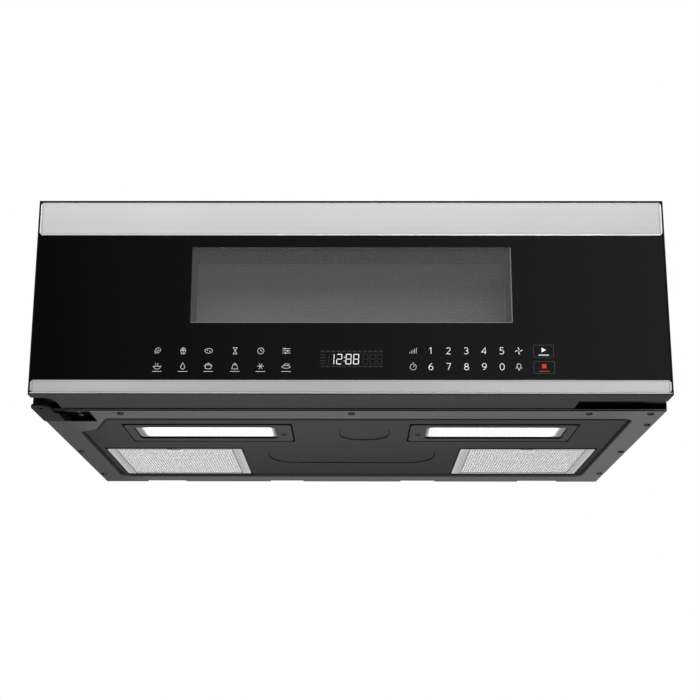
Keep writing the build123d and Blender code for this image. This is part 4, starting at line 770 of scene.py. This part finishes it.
# Mesh helpers.
def gridFaces(rows, cols, wrapRows=False, wrapCols=False):
    # quads between neighbours of a rows by cols grid of points, joined round where it wraps
    r, c = np.meshgrid(np.arange(rows - (not wrapRows)), np.arange(cols - (not wrapCols)), indexing="ij")
    nextR, nextC = (r + 1) % rows, (c + 1) % cols
    corners = (r * cols + c, r * cols + nextC, nextR * cols + nextC, nextR * cols + c)
    return np.stack(corners, -1).reshape(-1, 4)


def makePiece(name, points, faces, finish, body, slotName, closed=True, smooth=None, facing=None):
    # a mesh in place; closed shells are merged and turned outwards, flat ones turned to face one way
    mesh = bpy.data.meshes.new(name)
    corners = np.asarray(points, float).reshape(-1, 3).tolist()
    mesh.from_pydata(corners, [], faces if isinstance(faces, list) else faces.tolist())
    shell = bmesh.new()
    shell.from_mesh(mesh)
    bmesh.ops.remove_doubles(shell, verts=shell.verts, dist=1e-7)
    if closed:
        bmesh.ops.recalc_face_normals(shell, faces=shell.faces)
    shell.to_mesh(mesh)
    shell.free()
    if facing is not None:
        normals = np.zeros(len(mesh.polygons) * 3, np.float32)
        mesh.polygons.foreach_get("normal", normals)
        if normals.reshape(-1, 3).sum(0) @ np.array(facing) < 0:
            mesh.flip_normals()
    if smooth:
        mesh.shade_smooth()
        mesh.set_sharp_from_angle(angle=math.radians(smooth))
    mesh.materials.append(finish.material)
    piece = bpy.data.objects.new(name, mesh)
    bpy.context.scene.collection.objects.link(piece)
    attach(piece, body)
    return piece


def roundedLoop(left, low, right, high, radius, steps=6):
    # points round a rectangle whose corners are quarter circles, anticlockwise from the lower right one
    quarter = np.linspace(0, math.pi / 2, steps)
    centres = ((right - radius, low + radius, -1), (right - radius, high - radius, 0),
               (left + radius, high - radius, 1), (left + radius, low + radius, 2))
    arcs = [np.stack((x + radius * np.cos(quarter + turn * math.pi / 2),
                      y + radius * np.sin(quarter + turn * math.pi / 2)), -1) for x, y, turn in centres]
    return np.concatenate(arcs)


def onDoor(flat, depth):
    # a picture in (x, z) millimetres laid on the door at one depth
    flat = np.asarray(flat, float)
    return np.stack((flat[..., 0], np.full(flat.shape[:-1], depth), flat[..., 1]), -1) * mm


# Front glass: one black plate with a rounded window, and the clear part that fills it.
glassPlan = {
    "window": (-187.0, 92.2, 189.0, 186.4), "corner": 1.5, "windowCorner": 0.7, "edge": 0.5, "paneGap": 0.05,
    "paneCover": 0.145, "edgeHighlight": 1.1, "inkLift": 0.05,
}


def frontGlass(plan):
    # closed ring: loops go from the front face round the outer edge, over the back and through the window
    low, high = (np.array(v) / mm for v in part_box("door_glass"))
    e, c = plan["edge"], plan["corner"]
    outer = roundedLoop(low[0], low[2], high[0], high[2], c)
    inset = roundedLoop(low[0] + e, low[2] + e, high[0] - e, high[2] - e, c)
    window = roundedLoop(*plan["window"], plan["windowCorner"])
    loops = ((inset, low[1]), (outer, low[1] + e), (outer, high[1]), (window, high[1]), (window, low[1]))
    points = [onDoor(loop, depth) for loop, depth in loops]
    faces = gridFaces(len(loops), len(outer), True, True)
    piece = makePiece("frontGlass", points, faces, finishes["black_glass"], "door", "black_glass")
    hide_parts("door_glass")
    g, highlightWidth = plan["paneGap"], plan["edgeHighlight"]
    x0, z0, x1, z1 = plan["window"]
    pane = roundedLoop(x0 + g, z0 + g, x1 - g, z1 - g, plan["windowCorner"])
    count = len(pane)
    faces = gridFaces(2, count, False, True).tolist()
    faces += [list(range(count)), list(range(2 * count - 1, count - 1, -1))]
    points = [onDoor(pane, low[1] + g), onDoor(pane, high[1] - g)]
    finish = smokedPane("smokedPane", plan["paneCover"], (z0 + highlightWidth) * mm, (x1 - highlightWidth) * mm)
    piece = makePiece("windowPane", points, faces, finish, "door", "black_glass")
    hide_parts("door_glass")
    return low[1]


inkDepth = frontGlass(glassPlan) - glassPlan["inkLift"]
print("stage: glass")

# Key markings: numbers, small line drawings and two framed keys.
keyPlan = {
    "upper": 58.1, "lower": 38.9, "digitX": 92.9, "digitStep": 20.55, "digitHalf": 3.85, "digitLine": 0.68,
    "digitWide": 1.12, "functionX": (-223.6, -193.9, -164.4, -133.7, -104.0, -74.4),
    "functionUpper": 57.9, "functionLower": 39.4, "stroke": 0.5,
    "upperSize": 3.784, "lowerSize": 3.696, "levelSize": 3.52, "timerSize": 4.4, "lampSize": 4.9,
    "levelX": 72.4, "fanX": 194.8, "lampX": 194.5,
    "startFrame": (211.8, 50.4, 235.2, 65.4), "stopFrame": (211.4, 30.6, 235.9, 45.6),
    "frameLine": 0.55, "frameCorner": 1.0, "frameInnerCorner": 0.6,
    "triangle": ((-2.2, 4.2), (-2.2, -1.6), (2.8, 1.3)), "startUnderline": -4.9,
    "square": ((-2.6, 4.0), (-2.6, -1.2), (2.6, -1.2), (2.6, 4.0)), "stopUnderline": -4.7,
    "underlineHalf": 6, "underlineWide": 0.9,
}
ink = {
    "white": screenPrint("keyWhite", grey(0.8), 0.55),
    "soft": screenPrint("keySoft", grey(0.6), 0.5),
    "red": screenPrint("keyRed", (0.55, 0.025, 0.015, 1), 0.3),
    "line": screenPrint("keyLine", (0.045, 0.050, 0.062, 1), 0.05),
    "lit": screenPrint("digitLit", grey(0.9), 0.6),
    "ghost": screenPrint("digitGhost", grey(0.006), 0.02),
}


def arc(x, y, wide, high, start, end, steps=20):
    # points on an ellipse about (x, y) between two angles in degrees
    a = np.radians(np.linspace(start, end, steps))
    return np.stack((x + wide * np.cos(a), y + high * np.sin(a)), -1)


def run(*points):
    # a path straight from point to point
    return np.array(points, float)


def ribbons(paths, width, scale, x, z, sharpest=0.45):
    # each path carries a flat line of one width: its points move out along their mitred normals, by half the
    # width over the cosine of half the turn, which counts as no less than sharpest
    points, faces, start = [], [], 0
    for path in paths:
        path = path * scale + (x, z)
        step = np.diff(path, axis=0)
        step /= np.linalg.norm(step, axis=1, keepdims=True)
        before, after = np.concatenate((step[:1], step)), np.concatenate((step, step[-1:]))
        if np.allclose(path[0], path[-1], atol=1e-3):
            before[0], after[-1] = step[-1], step[0]
        way = before + after
        way /= np.maximum(np.linalg.norm(way, axis=1, keepdims=True), 1e-6)
        stretch = 1 / np.maximum((way * after).sum(1, keepdims=True), sharpest)
        side = np.stack((-way[:, 1], way[:, 0]), -1) * stretch * width / 2
        points.append(np.stack((path - side, path + side), 1).reshape(-1, 2))
        faces.append(gridFaces(len(path), 2) + start)
        start += 2 * len(path)
    return np.concatenate(points), np.concatenate(faces)


def keyDrawings():
    # line drawings in a box from -1 to 1, one for each function key, top row first
    circle = arc(0, 0, 0.95, 0.95, 0, 360, 32)
    flake = [run((-c, -s), (c, s)) for c, s in ((1, 0), (0.5, 0.87), (0.5, -0.87))]
    leaf = [
        arc(-0.3, 0.5, 1.25, 1.25, -98, 8), arc(0.45, -0.3, 1.25, 1.25, 82, 188),
        run((-0.9, -0.9), (0.45, 0.4)),
    ]
    cup = [
        run((-0.75, 0.1), (-0.5, -1), (0.5, -1), (0.75, 0.1), (-0.75, 0.1)),
        arc(-0.42, 0.4, 0.3, 0.3, 0, 360), arc(0.42, 0.4, 0.3, 0.3, 0, 360),
        arc(0, 0.72, 0.32, 0.3, 0, 360), run((0, 0.1), (0, -1)),
    ]
    root = [
        arc(0, 0, 1.15, 0.75, 0, 360, 32), arc(-0.35, 0.15, 0.1, 0.1, 0, 360, 8),
        arc(0.4, -0.2, 0.1, 0.1, 0, 360, 8),
    ]
    glass = [run((-0.7, 1), (0.7, 1)), run((-0.7, -1), (0.7, -1))]
    glass += [run((-0.6, 1), (0.6, -1)), run((0.6, 1), (-0.6, -1))]
    clock = [circle, run((0, 0.6), (0, 0), (0.45, -0.2))]
    sliders = [run((-1.2, y), (1.2, y)) for y in (-0.7, 0, 0.7)]
    sliders += [arc(x, y, 0.2, 0.2, 0, 360, 12) for x, y in ((-0.5, 0.7), (0.4, 0), (-0.2, -0.7))]
    bowl = [
        arc(0, -0.1, 1.1, 0.9, 180, 360), run((-1.3, -0.1), (1.3, -0.1)),
        arc(-0.35, 0.55, 0.14, 0.4, 90, 270), arc(0.35, 0.55, 0.14, 0.4, 90, 270),
    ]
    drop = [arc(0, -0.3, 0.68, 0.65, 150, 390), run((-0.59, 0.02), (0, 1.05), (0.59, 0.02))]
    pot = [
        run((-0.9, 0.35), (-0.9, -0.85), (0.9, -0.85), (0.9, 0.35), (-0.9, 0.35)),
        run((-1.35, 0.05), (-0.9, 0.05)), run((0.9, 0.05), (1.35, 0.05)),
        arc(0, 0.35, 0.9, 0.4, 0, 180), arc(0, 0.88, 0.14, 0.14, 0, 360, 10),
    ]
    weight = [
        run((-0.6, 0.4), (0.6, 0.4), (0.95, -0.95), (-0.95, -0.95), (-0.6, 0.4)),
        arc(0, 0.68, 0.28, 0.28, 0, 360, 16),
    ]
    plate = [
        arc(0, -0.25, 1.3, 0.45, 0, 360, 32), arc(0, 0.2, 0.75, 0.55, 20, 160),
        run((0.42, 0.75), (0.72, 0.38), (0.95, 0.8)),
    ]
    timer = [arc(0, -0.1, 0.8, 0.8, 0, 360, 28), run((0, -0.1), (0.35, 0.3)), run((-0.25, 1.0), (0.25, 1.0))]
    heights = ((-1.1, 0.5), (-0.55, 0.85), (0, 1.2), (0.55, 1.55), (1.1, 1.9))
    level = [run((x, -0.9), (x, -0.9 + h)) for x, h in heights]
    bars = [run((-1.5, -1.75), (1.5, -1.75))]
    upper = [leaf, cup, root, glass, clock, sliders]
    lower = [drawing + bars for drawing in (bowl, drop, pot, weight, flake, plate)]
    return upper, lower, level, timer


fanPlan = {"count": 4, "steps": 9, "hub": 0.6, "reach": 4.1, "bend": 2.0, "lean": 0.8, "half": 0.62}


def fanBlades(plan):
    # curved blades round a hub: a parabola out to the tip, as wide as a power of the sine of its share
    count, steps = plan["count"], plan["steps"]
    t = np.linspace(0, 1, steps)
    middle = np.stack((plan["hub"] + plan["reach"] * t, plan["bend"] * t * t - plan["lean"] * t), -1)
    half = np.stack((0 * t, plan["half"] * np.sin(np.pi * np.clip(t, 0.02, 0.98)) ** 0.7), -1)
    edge = np.stack((middle + half, middle - half), 1)
    turns = np.radians(np.arange(count) * 360 / count)
    spin = np.array([[[math.cos(a), math.sin(a)], [-math.sin(a), math.cos(a)]] for a in turns])
    points = np.einsum("rci,kij->krcj", edge, spin).reshape(-1, 2)
    return points, np.concatenate([gridFaces(steps, 2) + k * 2 * steps for k in range(count)])


def lampStrokes():
    # an open ring over a short neck and a foot, with a ray down each side
    ways = [(math.cos(a), math.sin(a)) for a in np.radians((-38, 218))]
    rays = [run((0.62 * c, 0.62 * s + 0.2), (0.98 * c, 0.98 * s + 0.2)) for c, s in ways]
    neck = run((-0.22, -0.3), (-0.22, -0.62), (0.22, -0.62), (0.22, -0.3))
    return [arc(0, 0.2, 0.46, 0.55, -62, 242), neck, run((-0.13, -0.86), (0.13, -0.86))] + rays


def numeralStrokes():
    # plain thin numerals in a box from -1 to 1 in height, 0 to 9
    tail = run((-0.55, -0.3), (-0.42, 0.25), (-0.1, 0.72), (0.32, 1.0))
    six = [arc(0, -0.42, 0.56, 0.58, 0, 360, 24), tail]
    return [
        [arc(0, 0, 0.58, 1.0, 0, 360, 28)],
        [run((-0.38, 0.68), (0.08, 1.0), (0.08, -1.0))],
        [arc(-0.02, 0.46, 0.5, 0.54, 165, -30, 16), run((0.41, 0.19), (-0.55, -1.0), (0.56, -1.0))],
        [arc(-0.05, 0.5, 0.48, 0.5, 150, -90, 16), arc(-0.05, -0.46, 0.56, 0.54, 90, -150, 18)],
        [run((0.3, -1.0), (0.3, 1.0), (-0.62, -0.4), (0.62, -0.4))],
        [run((0.45, 1.0), (-0.38, 1.0), (-0.46, 0.12)), arc(-0.06, -0.38, 0.58, 0.62, 128, -142, 20)],
        six,
        [run((-0.55, 1.0), (0.55, 1.0), (-0.2, -1.0))],
        [arc(0, 0.5, 0.44, 0.5, 0, 360, 20), arc(0, -0.48, 0.55, 0.52, 0, 360, 22)],
        [-stroke for stroke in six],
    ]


def layMarks(name, groups, finish):
    # several flat drawings become one piece just in front of the glass
    points, faces, start = [], [], 0
    for flat, quads in groups:
        quads = quads.tolist() if isinstance(quads, np.ndarray) else quads
        points.append(flat)
        faces += [[start + i for i in q] for q in quads]
        start += len(flat)
    place = onDoor(np.concatenate(points), inkDepth)
    return makePiece(name, place, faces, finish, "door", "display_black", closed=False, facing=(0, -1, 0))


def frameLoop(rect, plan):
    # a thin rectangular line with small round corners
    x0, z0, x1, z1 = rect
    line = plan["frameLine"]
    outer = roundedLoop(x0, z0, x1, z1, plan["frameCorner"])
    inner = roundedLoop(x0 + line, z0 + line, x1 - line, z1 - line, plan["frameInnerCorner"])
    return np.concatenate((outer, inner)), gridFaces(2, len(outer), False, True)


def keyMarkings(plan):
    # numbers stand one step apart along both rows, drawings at their own x, start and stop in their frames
    shapes, digits = numeralStrokes(), []
    for row, figures in ((plan["upper"], (1, 2, 3, 4, 5)), (plan["lower"], (6, 7, 8, 9, 0))):
        for i, k in enumerate(figures):
            strokes = [stroke * (plan["digitWide"], 1) for stroke in shapes[k]]
            x = plan["digitX"] + i * plan["digitStep"]
            digits.append(ribbons(strokes, plan["digitLine"], plan["digitHalf"], x, row))
    layMarks("keyNumbers", digits, ink["white"])
    upper, lower, level, timer = keyDrawings()
    line, marks = plan["stroke"], []
    for row, drawings in (("Upper", upper), ("Lower", lower)):
        for drawing, x in zip(drawings, plan["functionX"]):
            marks.append(ribbons(drawing, line, plan[row.lower() + "Size"], x, plan["function" + row]))
    marks.append(ribbons(level, line, plan["levelSize"], plan["levelX"], plan["upper"]))
    marks.append(ribbons(timer, line, plan["timerSize"], plan["levelX"], plan["lower"]))
    layMarks("keyDrawings", marks, ink["soft"])
    blades, quads = fanBlades(fanPlan)
    lamp = ribbons(lampStrokes(), line, plan["lampSize"], plan["lampX"], plan["lower"])
    layMarks("fanMark", [(blades + (plan["fanX"], plan["upper"]), quads)], ink["soft"])
    layMarks("lampMark", [lamp], ink["white"])
    half, wide = plan["underlineHalf"], plan["underlineWide"]
    for key, shape, colour in (("start", "triangle", "white"), ("stop", "square", "red")):
        x0, z0, x1, z1 = plan[key + "Frame"]
        middle = ((x0 + x1) / 2, (z0 + z1) / 2)
        low = plan[key + "Underline"]
        sign = (np.array(plan[shape]) + middle, [list(range(len(plan[shape])))])
        underline = ribbons([run((-half, low), (half, low))], wide, 1, *middle)
        layMarks(key + "Mark", [sign, underline], ink[colour])
    layMarks("keyFrames", [frameLoop(plan[key], plan) for key in ("startFrame", "stopFrame")], ink["line"])


keyMarkings(keyPlan)

# Display: seven-segment figures, some lit and some at rest, between faint rows of marks.
displayPlan = {
    "low": 41.6, "high": 54.2, "wide": 6.7, "line": 0.95, "lean": 0.04, "overlap": 0.25, "point": 0.86,
    "colonX": -7.7, "colonSize": 0.55, "colonShares": (0.32, 0.68), "colonLean": 1.2,
    "cells": ((-25.6, "1"), (-16.6, "2"), (-5.9, "8"), (2.9, "8"), (13.7, ""), (21.9, ""), (30.1, "")),
    "marksX": (-34.3, 34.6, 6.1), "markWide": 4.6, "rows": ((56.2, 58.2), (38.2, 39.9)),
    "sideX": (-35.6, -28.4), "sideRows": (42.2, 52.4, 4), "sideHigh": 1.1,
}
segmentsOf = {"": "", "1": "bc", "2": "abged", "8": "abcdefg"}


def segmentFigure(kinds, x, plan):
    # bars with pointed ends: each is a thin hexagon along one side of a leaning figure of eight
    h, w, t = plan["high"] - plan["low"], plan["wide"], plan["line"]
    spots = {
        "a": (w / 2, h - t / 2, 0), "g": (w / 2, h / 2, 0), "d": (w / 2, t / 2, 0), "f": (t / 2, 0.75 * h, 1),
        "b": (w - t / 2, 0.75 * h, 1), "e": (t / 2, 0.25 * h, 1), "c": (w - t / 2, 0.25 * h, 1),
    }
    drawings = []
    for kind in kinds:
        cx, cz, up = spots[kind]
        half = (h / 2 - t) / 2 + plan["overlap"] if up else (w - t) / 2 - plan["overlap"]
        k = t / 2 * plan["point"]
        bar = np.array(((-half, 0), (k - half, k), (half - k, k), (half, 0), (half - k, -k), (k - half, -k)))
        bar = (bar[:, ::-1] if up else bar) + (cx, cz)
        bar[:, 0] += x + bar[:, 1] * plan["lean"]
        bar[:, 1] += plan["low"]
        drawings.append((bar, [[0, 1, 2, 3, 4, 5]]))
    return drawings


def displayFigures(plan):
    # lit segments and the colon in one piece, resting segments and the rows of marks in another
    lit, rest, size = [], [], plan["colonSize"]
    for share in plan["colonShares"]:
        z = plan["low"] + share * (plan["high"] - plan["low"])
        dot = arc(plan["colonX"] + share * plan["colonLean"], z, size, size, 0, 330, 12)
        lit.append((dot, [list(range(12))]))
    for x, figure in plan["cells"]:
        lit += segmentFigure(segmentsOf[figure], x, plan)
        rest += segmentFigure(sorted(set("abcdefg") - set(segmentsOf[figure])), x, plan)
    layMarks("displayLit", lit, ink["lit"])
    bars = [(x, low, x + plan["markWide"], high)
            for low, high in plan["rows"] for x in np.arange(*plan["marksX"])]
    left, right = plan["sideX"]
    bars += [(left, low, right, low + plan["sideHigh"]) for low in np.linspace(*plan["sideRows"])]
    for x0, z0, x1, z1 in bars:
        rest.append((np.array(((x0, z0), (x1, z0), (x1, z1), (x0, z1))), [[0, 1, 2, 3]]))
    layMarks("displayRest", rest, ink["ghost"])


displayFigures(displayPlan)
print("stage: keys and display")

# Filters: an expanded aluminium sheet shows in each frame.
weavePlan = {
    "pitchX": 3.55, "pitchY": 3.6, "strand": 1.1, "thick": 0.32, "low": 7.55, "flat": 0.09, "bond": 0.45,
    "borderX": 12.2, "borderY": 3.4, "tilt": (0.10, -0.06, -0.06, 0.10),
}


def expandedMetal(side, plan):
    # strand k zigzags along x: y = k pitch plus or minus a half pitch less the bond to its neighbours
    low, high = (np.array(v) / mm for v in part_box("filter_frame_" + side))
    pitchX, pitchY, strand = plan["pitchX"], plan["pitchY"], plan["strand"]
    x0, x1 = low[0] + plan["borderX"], high[0] - plan["borderX"]
    y0, y1 = low[1] + plan["borderY"], high[1] - plan["borderY"]
    turns = np.arange(0, int((x1 - x0) / (pitchX / 2)) + 1)
    flat = pitchX * plan["flat"]
    x = (x0 + turns[:, None] * pitchX / 2 + np.array((-flat, flat))).reshape(-1)
    swing = np.repeat(np.where(turns % 2, 1.0, -1.0), 2)
    rows = np.arange(int((y1 - y0) / pitchY))
    sign = np.where(rows % 2, 1.0, -1.0)
    y = y0 + (rows[:, None] + 0.5) * pitchY + sign[:, None] * swing * (pitchY / 2 - strand * plan["bond"])
    across = np.array((-0.5, 0.5, 0.5, -0.5)) * strand
    up = plan["low"] + np.array((0, 0, 1, 1)) * plan["thick"]
    up = up + np.array(plan["tilt"]) * (sign[:, None, None] * swing[None, :, None])
    wide = np.broadcast_to(np.clip(x, x0, x1)[None, :, None], up.shape)
    points = np.stack((wide, y[:, :, None] + across, up), -1)
    count = len(x) * 4
    caps = np.array(((0, 1, 2, 3), (count - 1, count - 2, count - 3, count - 4)))
    parts = (gridFaces(len(x), 4, False, True), caps)
    quads = [(part[None] + (rows * count)[:, None, None]).reshape(-1, 4) for part in parts]
    name = "filterWeave" + side.capitalize()
    makePiece(name, points * mm, np.concatenate(quads), weaveFinish, "filter_" + side, "filter_mesh")


for side in ("left", "right"):
    expandedMetal(side, weavePlan)
print("stage: filters")

# Screws: pan heads with a cross recess; a head is its radius, height and seat.
screwPlan = {
    "panSpots": (
        (-279, -158.5), (1, -158.5), (288.6, -158.5), (363, -158.5),
        (372, -108), (372, 33), (372, 169), (-372, 34), (-372, 175),
    ),
    "boltSpots": ((-331.5, -152.5), (-331.5, -139.5)),
    "coverSpots": {"left": ((-88, -42),), "right": ((88, -42),)},
    "panHead": (4.1, 1.8, 3.0), "boltHead": (4.3, 3.2, 8.0), "coverHead": (3.3, 1.3, 7.0),
    "reach": (0, 0.12, 0.2, 0.28, 0.36, 0.44, 0.52, 0.6, 0.68, 0.84, 0.95, 1.0, 1.0, 0.5, 0.5, 0.0),
    "drop": (1, 1, 1, 0.995, 0.99, 0.98, 0.97, 0.95, 0.92, 0.80, 0.62, 0.4, 0.0, 0.0, -0.5, -0.5),
    "around": 48, "slotHalf": 0.14, "slotSoft": 0.05, "slotReach": 0.62, "slotDepth": 0.55,
    "firstTurn": 0.4, "turnStep": 1.7,
}


def crossHead(x, y, radius, height, seat, turn, plan):
    # a lathed dome whose face sinks where either bar of a turned cross crosses it
    reach, drop = (np.array(plan[key], float)[:, None] for key in ("reach", "drop"))
    angle = np.linspace(0, 2 * math.pi, plan["around"], endpoint=False)
    px, py = reach * np.cos(angle), reach * np.sin(angle)
    cx, cy = px * math.cos(turn) + py * math.sin(turn), py * math.cos(turn) - px * math.sin(turn)
    bars = [np.clip((plan["slotHalf"] - np.abs(a)) / plan["slotSoft"], 0, 1) * (np.abs(b) < plan["slotReach"])
            for a, b in ((cx, cy), (cy, cx))]
    z = seat - height * (drop - plan["slotDepth"] * np.maximum(*bars) * (drop > 0.9))
    points = np.stack((x + radius * px, y + radius * py, z), -1) * mm
    return points, gridFaces(len(reach), plan["around"], False, True)


def screwSet(name, spots, head, body, plan, replaced=()):
    # one piece of several heads, each turned a step further than the one before
    points, faces, start = [], [], 0
    for k, (x, y) in enumerate(spots):
        grid, quads = crossHead(x, y, *head, plan["firstTurn"] + plan["turnStep"] * k, plan)
        points.append(grid.reshape(-1, 3))
        faces.append(quads + start)
        start += len(points[-1])
    shell, finish = (np.concatenate(points), np.concatenate(faces)), finishes["screw_steel"]
    piece = makePiece(name, *shell, finish, body, "screw_steel", smooth=35)
    if replaced:
        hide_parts(*replaced)


for name, kind in (("panScrews", "pan"), ("hingeBolts", "bolt")):
    spots, head = screwPlan[kind + "Spots"], screwPlan[kind + "Head"]
    screwSet(name, spots, head, "cabinet", screwPlan, ("cabinet_screws",))
for side, spots in screwPlan["coverSpots"].items():
    screwSet("coverScrew" + side.capitalize(), spots, screwPlan["coverHead"], "light_" + side, screwPlan)
print("stage: screws")

# Pale floor, far below, since the body hangs.
floorPlan = {"level": -1.7, "half": 9.0, "solid": 2.0, "gone": 8.55, "shade": 0.82, "lines": 9}


def paleFloor(plan):
    # a flat grid at one height, fading into the surround by its distance from the middle
    count = plan["lines"]
    line = np.linspace(-plan["half"], plan["half"], count)
    x, y = np.meshgrid(line, line, indexing="ij")
    points = np.stack((x, y, np.full_like(x, plan["level"])), -1).reshape(-1, 3)
    mesh = bpy.data.meshes.new("floor")
    mesh.from_pydata(points.tolist(), [], gridFaces(count, count)[:, ::-1].tolist())
    paint = Finish("floorPaint", {"Roughness": 0.9})
    drift = paint.noise(paint.place(), 3, 2.0)
    paint.feed("Base Color", paint.mix(drift, grey(plan["shade"] * 0.98), grey(plan["shade"])))
    x, y, z = paint.axes(paint.place())
    paint.feed("Alpha", ((x * x + y * y) ** 0.5).ease(plan["solid"], plan["gone"], 1.0, 0.0))
    mesh.materials.append(paint.material)
    floor = bpy.data.objects.new("floor", mesh)
    bpy.context.scene.collection.objects.link(floor)


paleFloor(floorPlan)

# Light: a white surround for the eye, a dimmer one for the surfaces, and soft boxes.
lightPlan = {
    # the surround's fades are eases: from, to, value at from, value at to
    "white": 1.0, "middle": 0.205, "slope": 0.55, "least": 0.03, "frontFade": (-0.2, 0.1, 1.0, 0.25),
    "lowFade": (-0.4, 0.0, 0.3, 1.0), "overhead": (0.5, 0.95, 0.0, 0.8),
    "behind": (0.1, 0.6, 0.0, 0.047), "lean": 1.2,
    "boxes": (  # name, place, aim, width, height, power
        ("boxTop", (0.0, -1.9, 2.1), (0, -0.1, 0.1), 4.0, 1.2, 52.0),
        ("boxBelow", (0.1, 0.15, -1.6), (0, 0.05, 0.0), 2.0, 0.8, 50.0),
    ),
}


class Surround(NodeBoard):
    # The world's nodes: what the eye sees and what lights the surfaces.
    def __init__(self):
        world = bpy.data.worlds.new("studio")
        world.use_nodes = True
        bpy.context.scene.world = world
        self.tree = world.node_tree
        self.tree.nodes.clear()

    def build(self, plan):
        # front light rises from left to right; more comes from overhead and from behind
        x, y, z = self.axes(self.node("ShaderNodeTexCoord", result="Generated"))
        glow = (plan["middle"] + plan["slope"] * x).most(plan["least"])
        glow = glow * y.ease(*plan["frontFade"]) * z.ease(*plan["lowFade"])
        glow = glow + z.ease(*plan["overhead"]) + y.ease(*plan["behind"]) * (1 + plan["lean"] * x)
        seen = self.node("ShaderNodeLightPath", result="Is Camera Ray")
        level = seen * plan["white"] + (1 - seen) * glow
        back = self.node("ShaderNodeBackground", {}, {0: grey(1.0), 1: level})
        output = self.tree.nodes.new("ShaderNodeOutputWorld")
        self.tree.links.new(back.socket, output.inputs[0])


def softBox(name, place, aim, wide, tall, power):
    # a rectangular area light at its place, whose face points from there to aim
    lamp = bpy.data.lights.new(name, "AREA")
    lamp.shape = "RECTANGLE"
    lamp.size, lamp.size_y, lamp.energy = wide, tall, power
    holder = bpy.data.objects.new(name, lamp)
    turn = (Vector(aim) - Vector(place)).to_track_quat("-Z", "Y").to_matrix().to_4x4()
    holder.matrix_world = Matrix.Translation(place) @ turn
    bpy.context.scene.collection.objects.link(holder)


Surround().build(lightPlan)
for box in lightPlan["boxes"]:
    softBox(*box)
print("stage: floor and light")

bpy.context.view_layer.update()
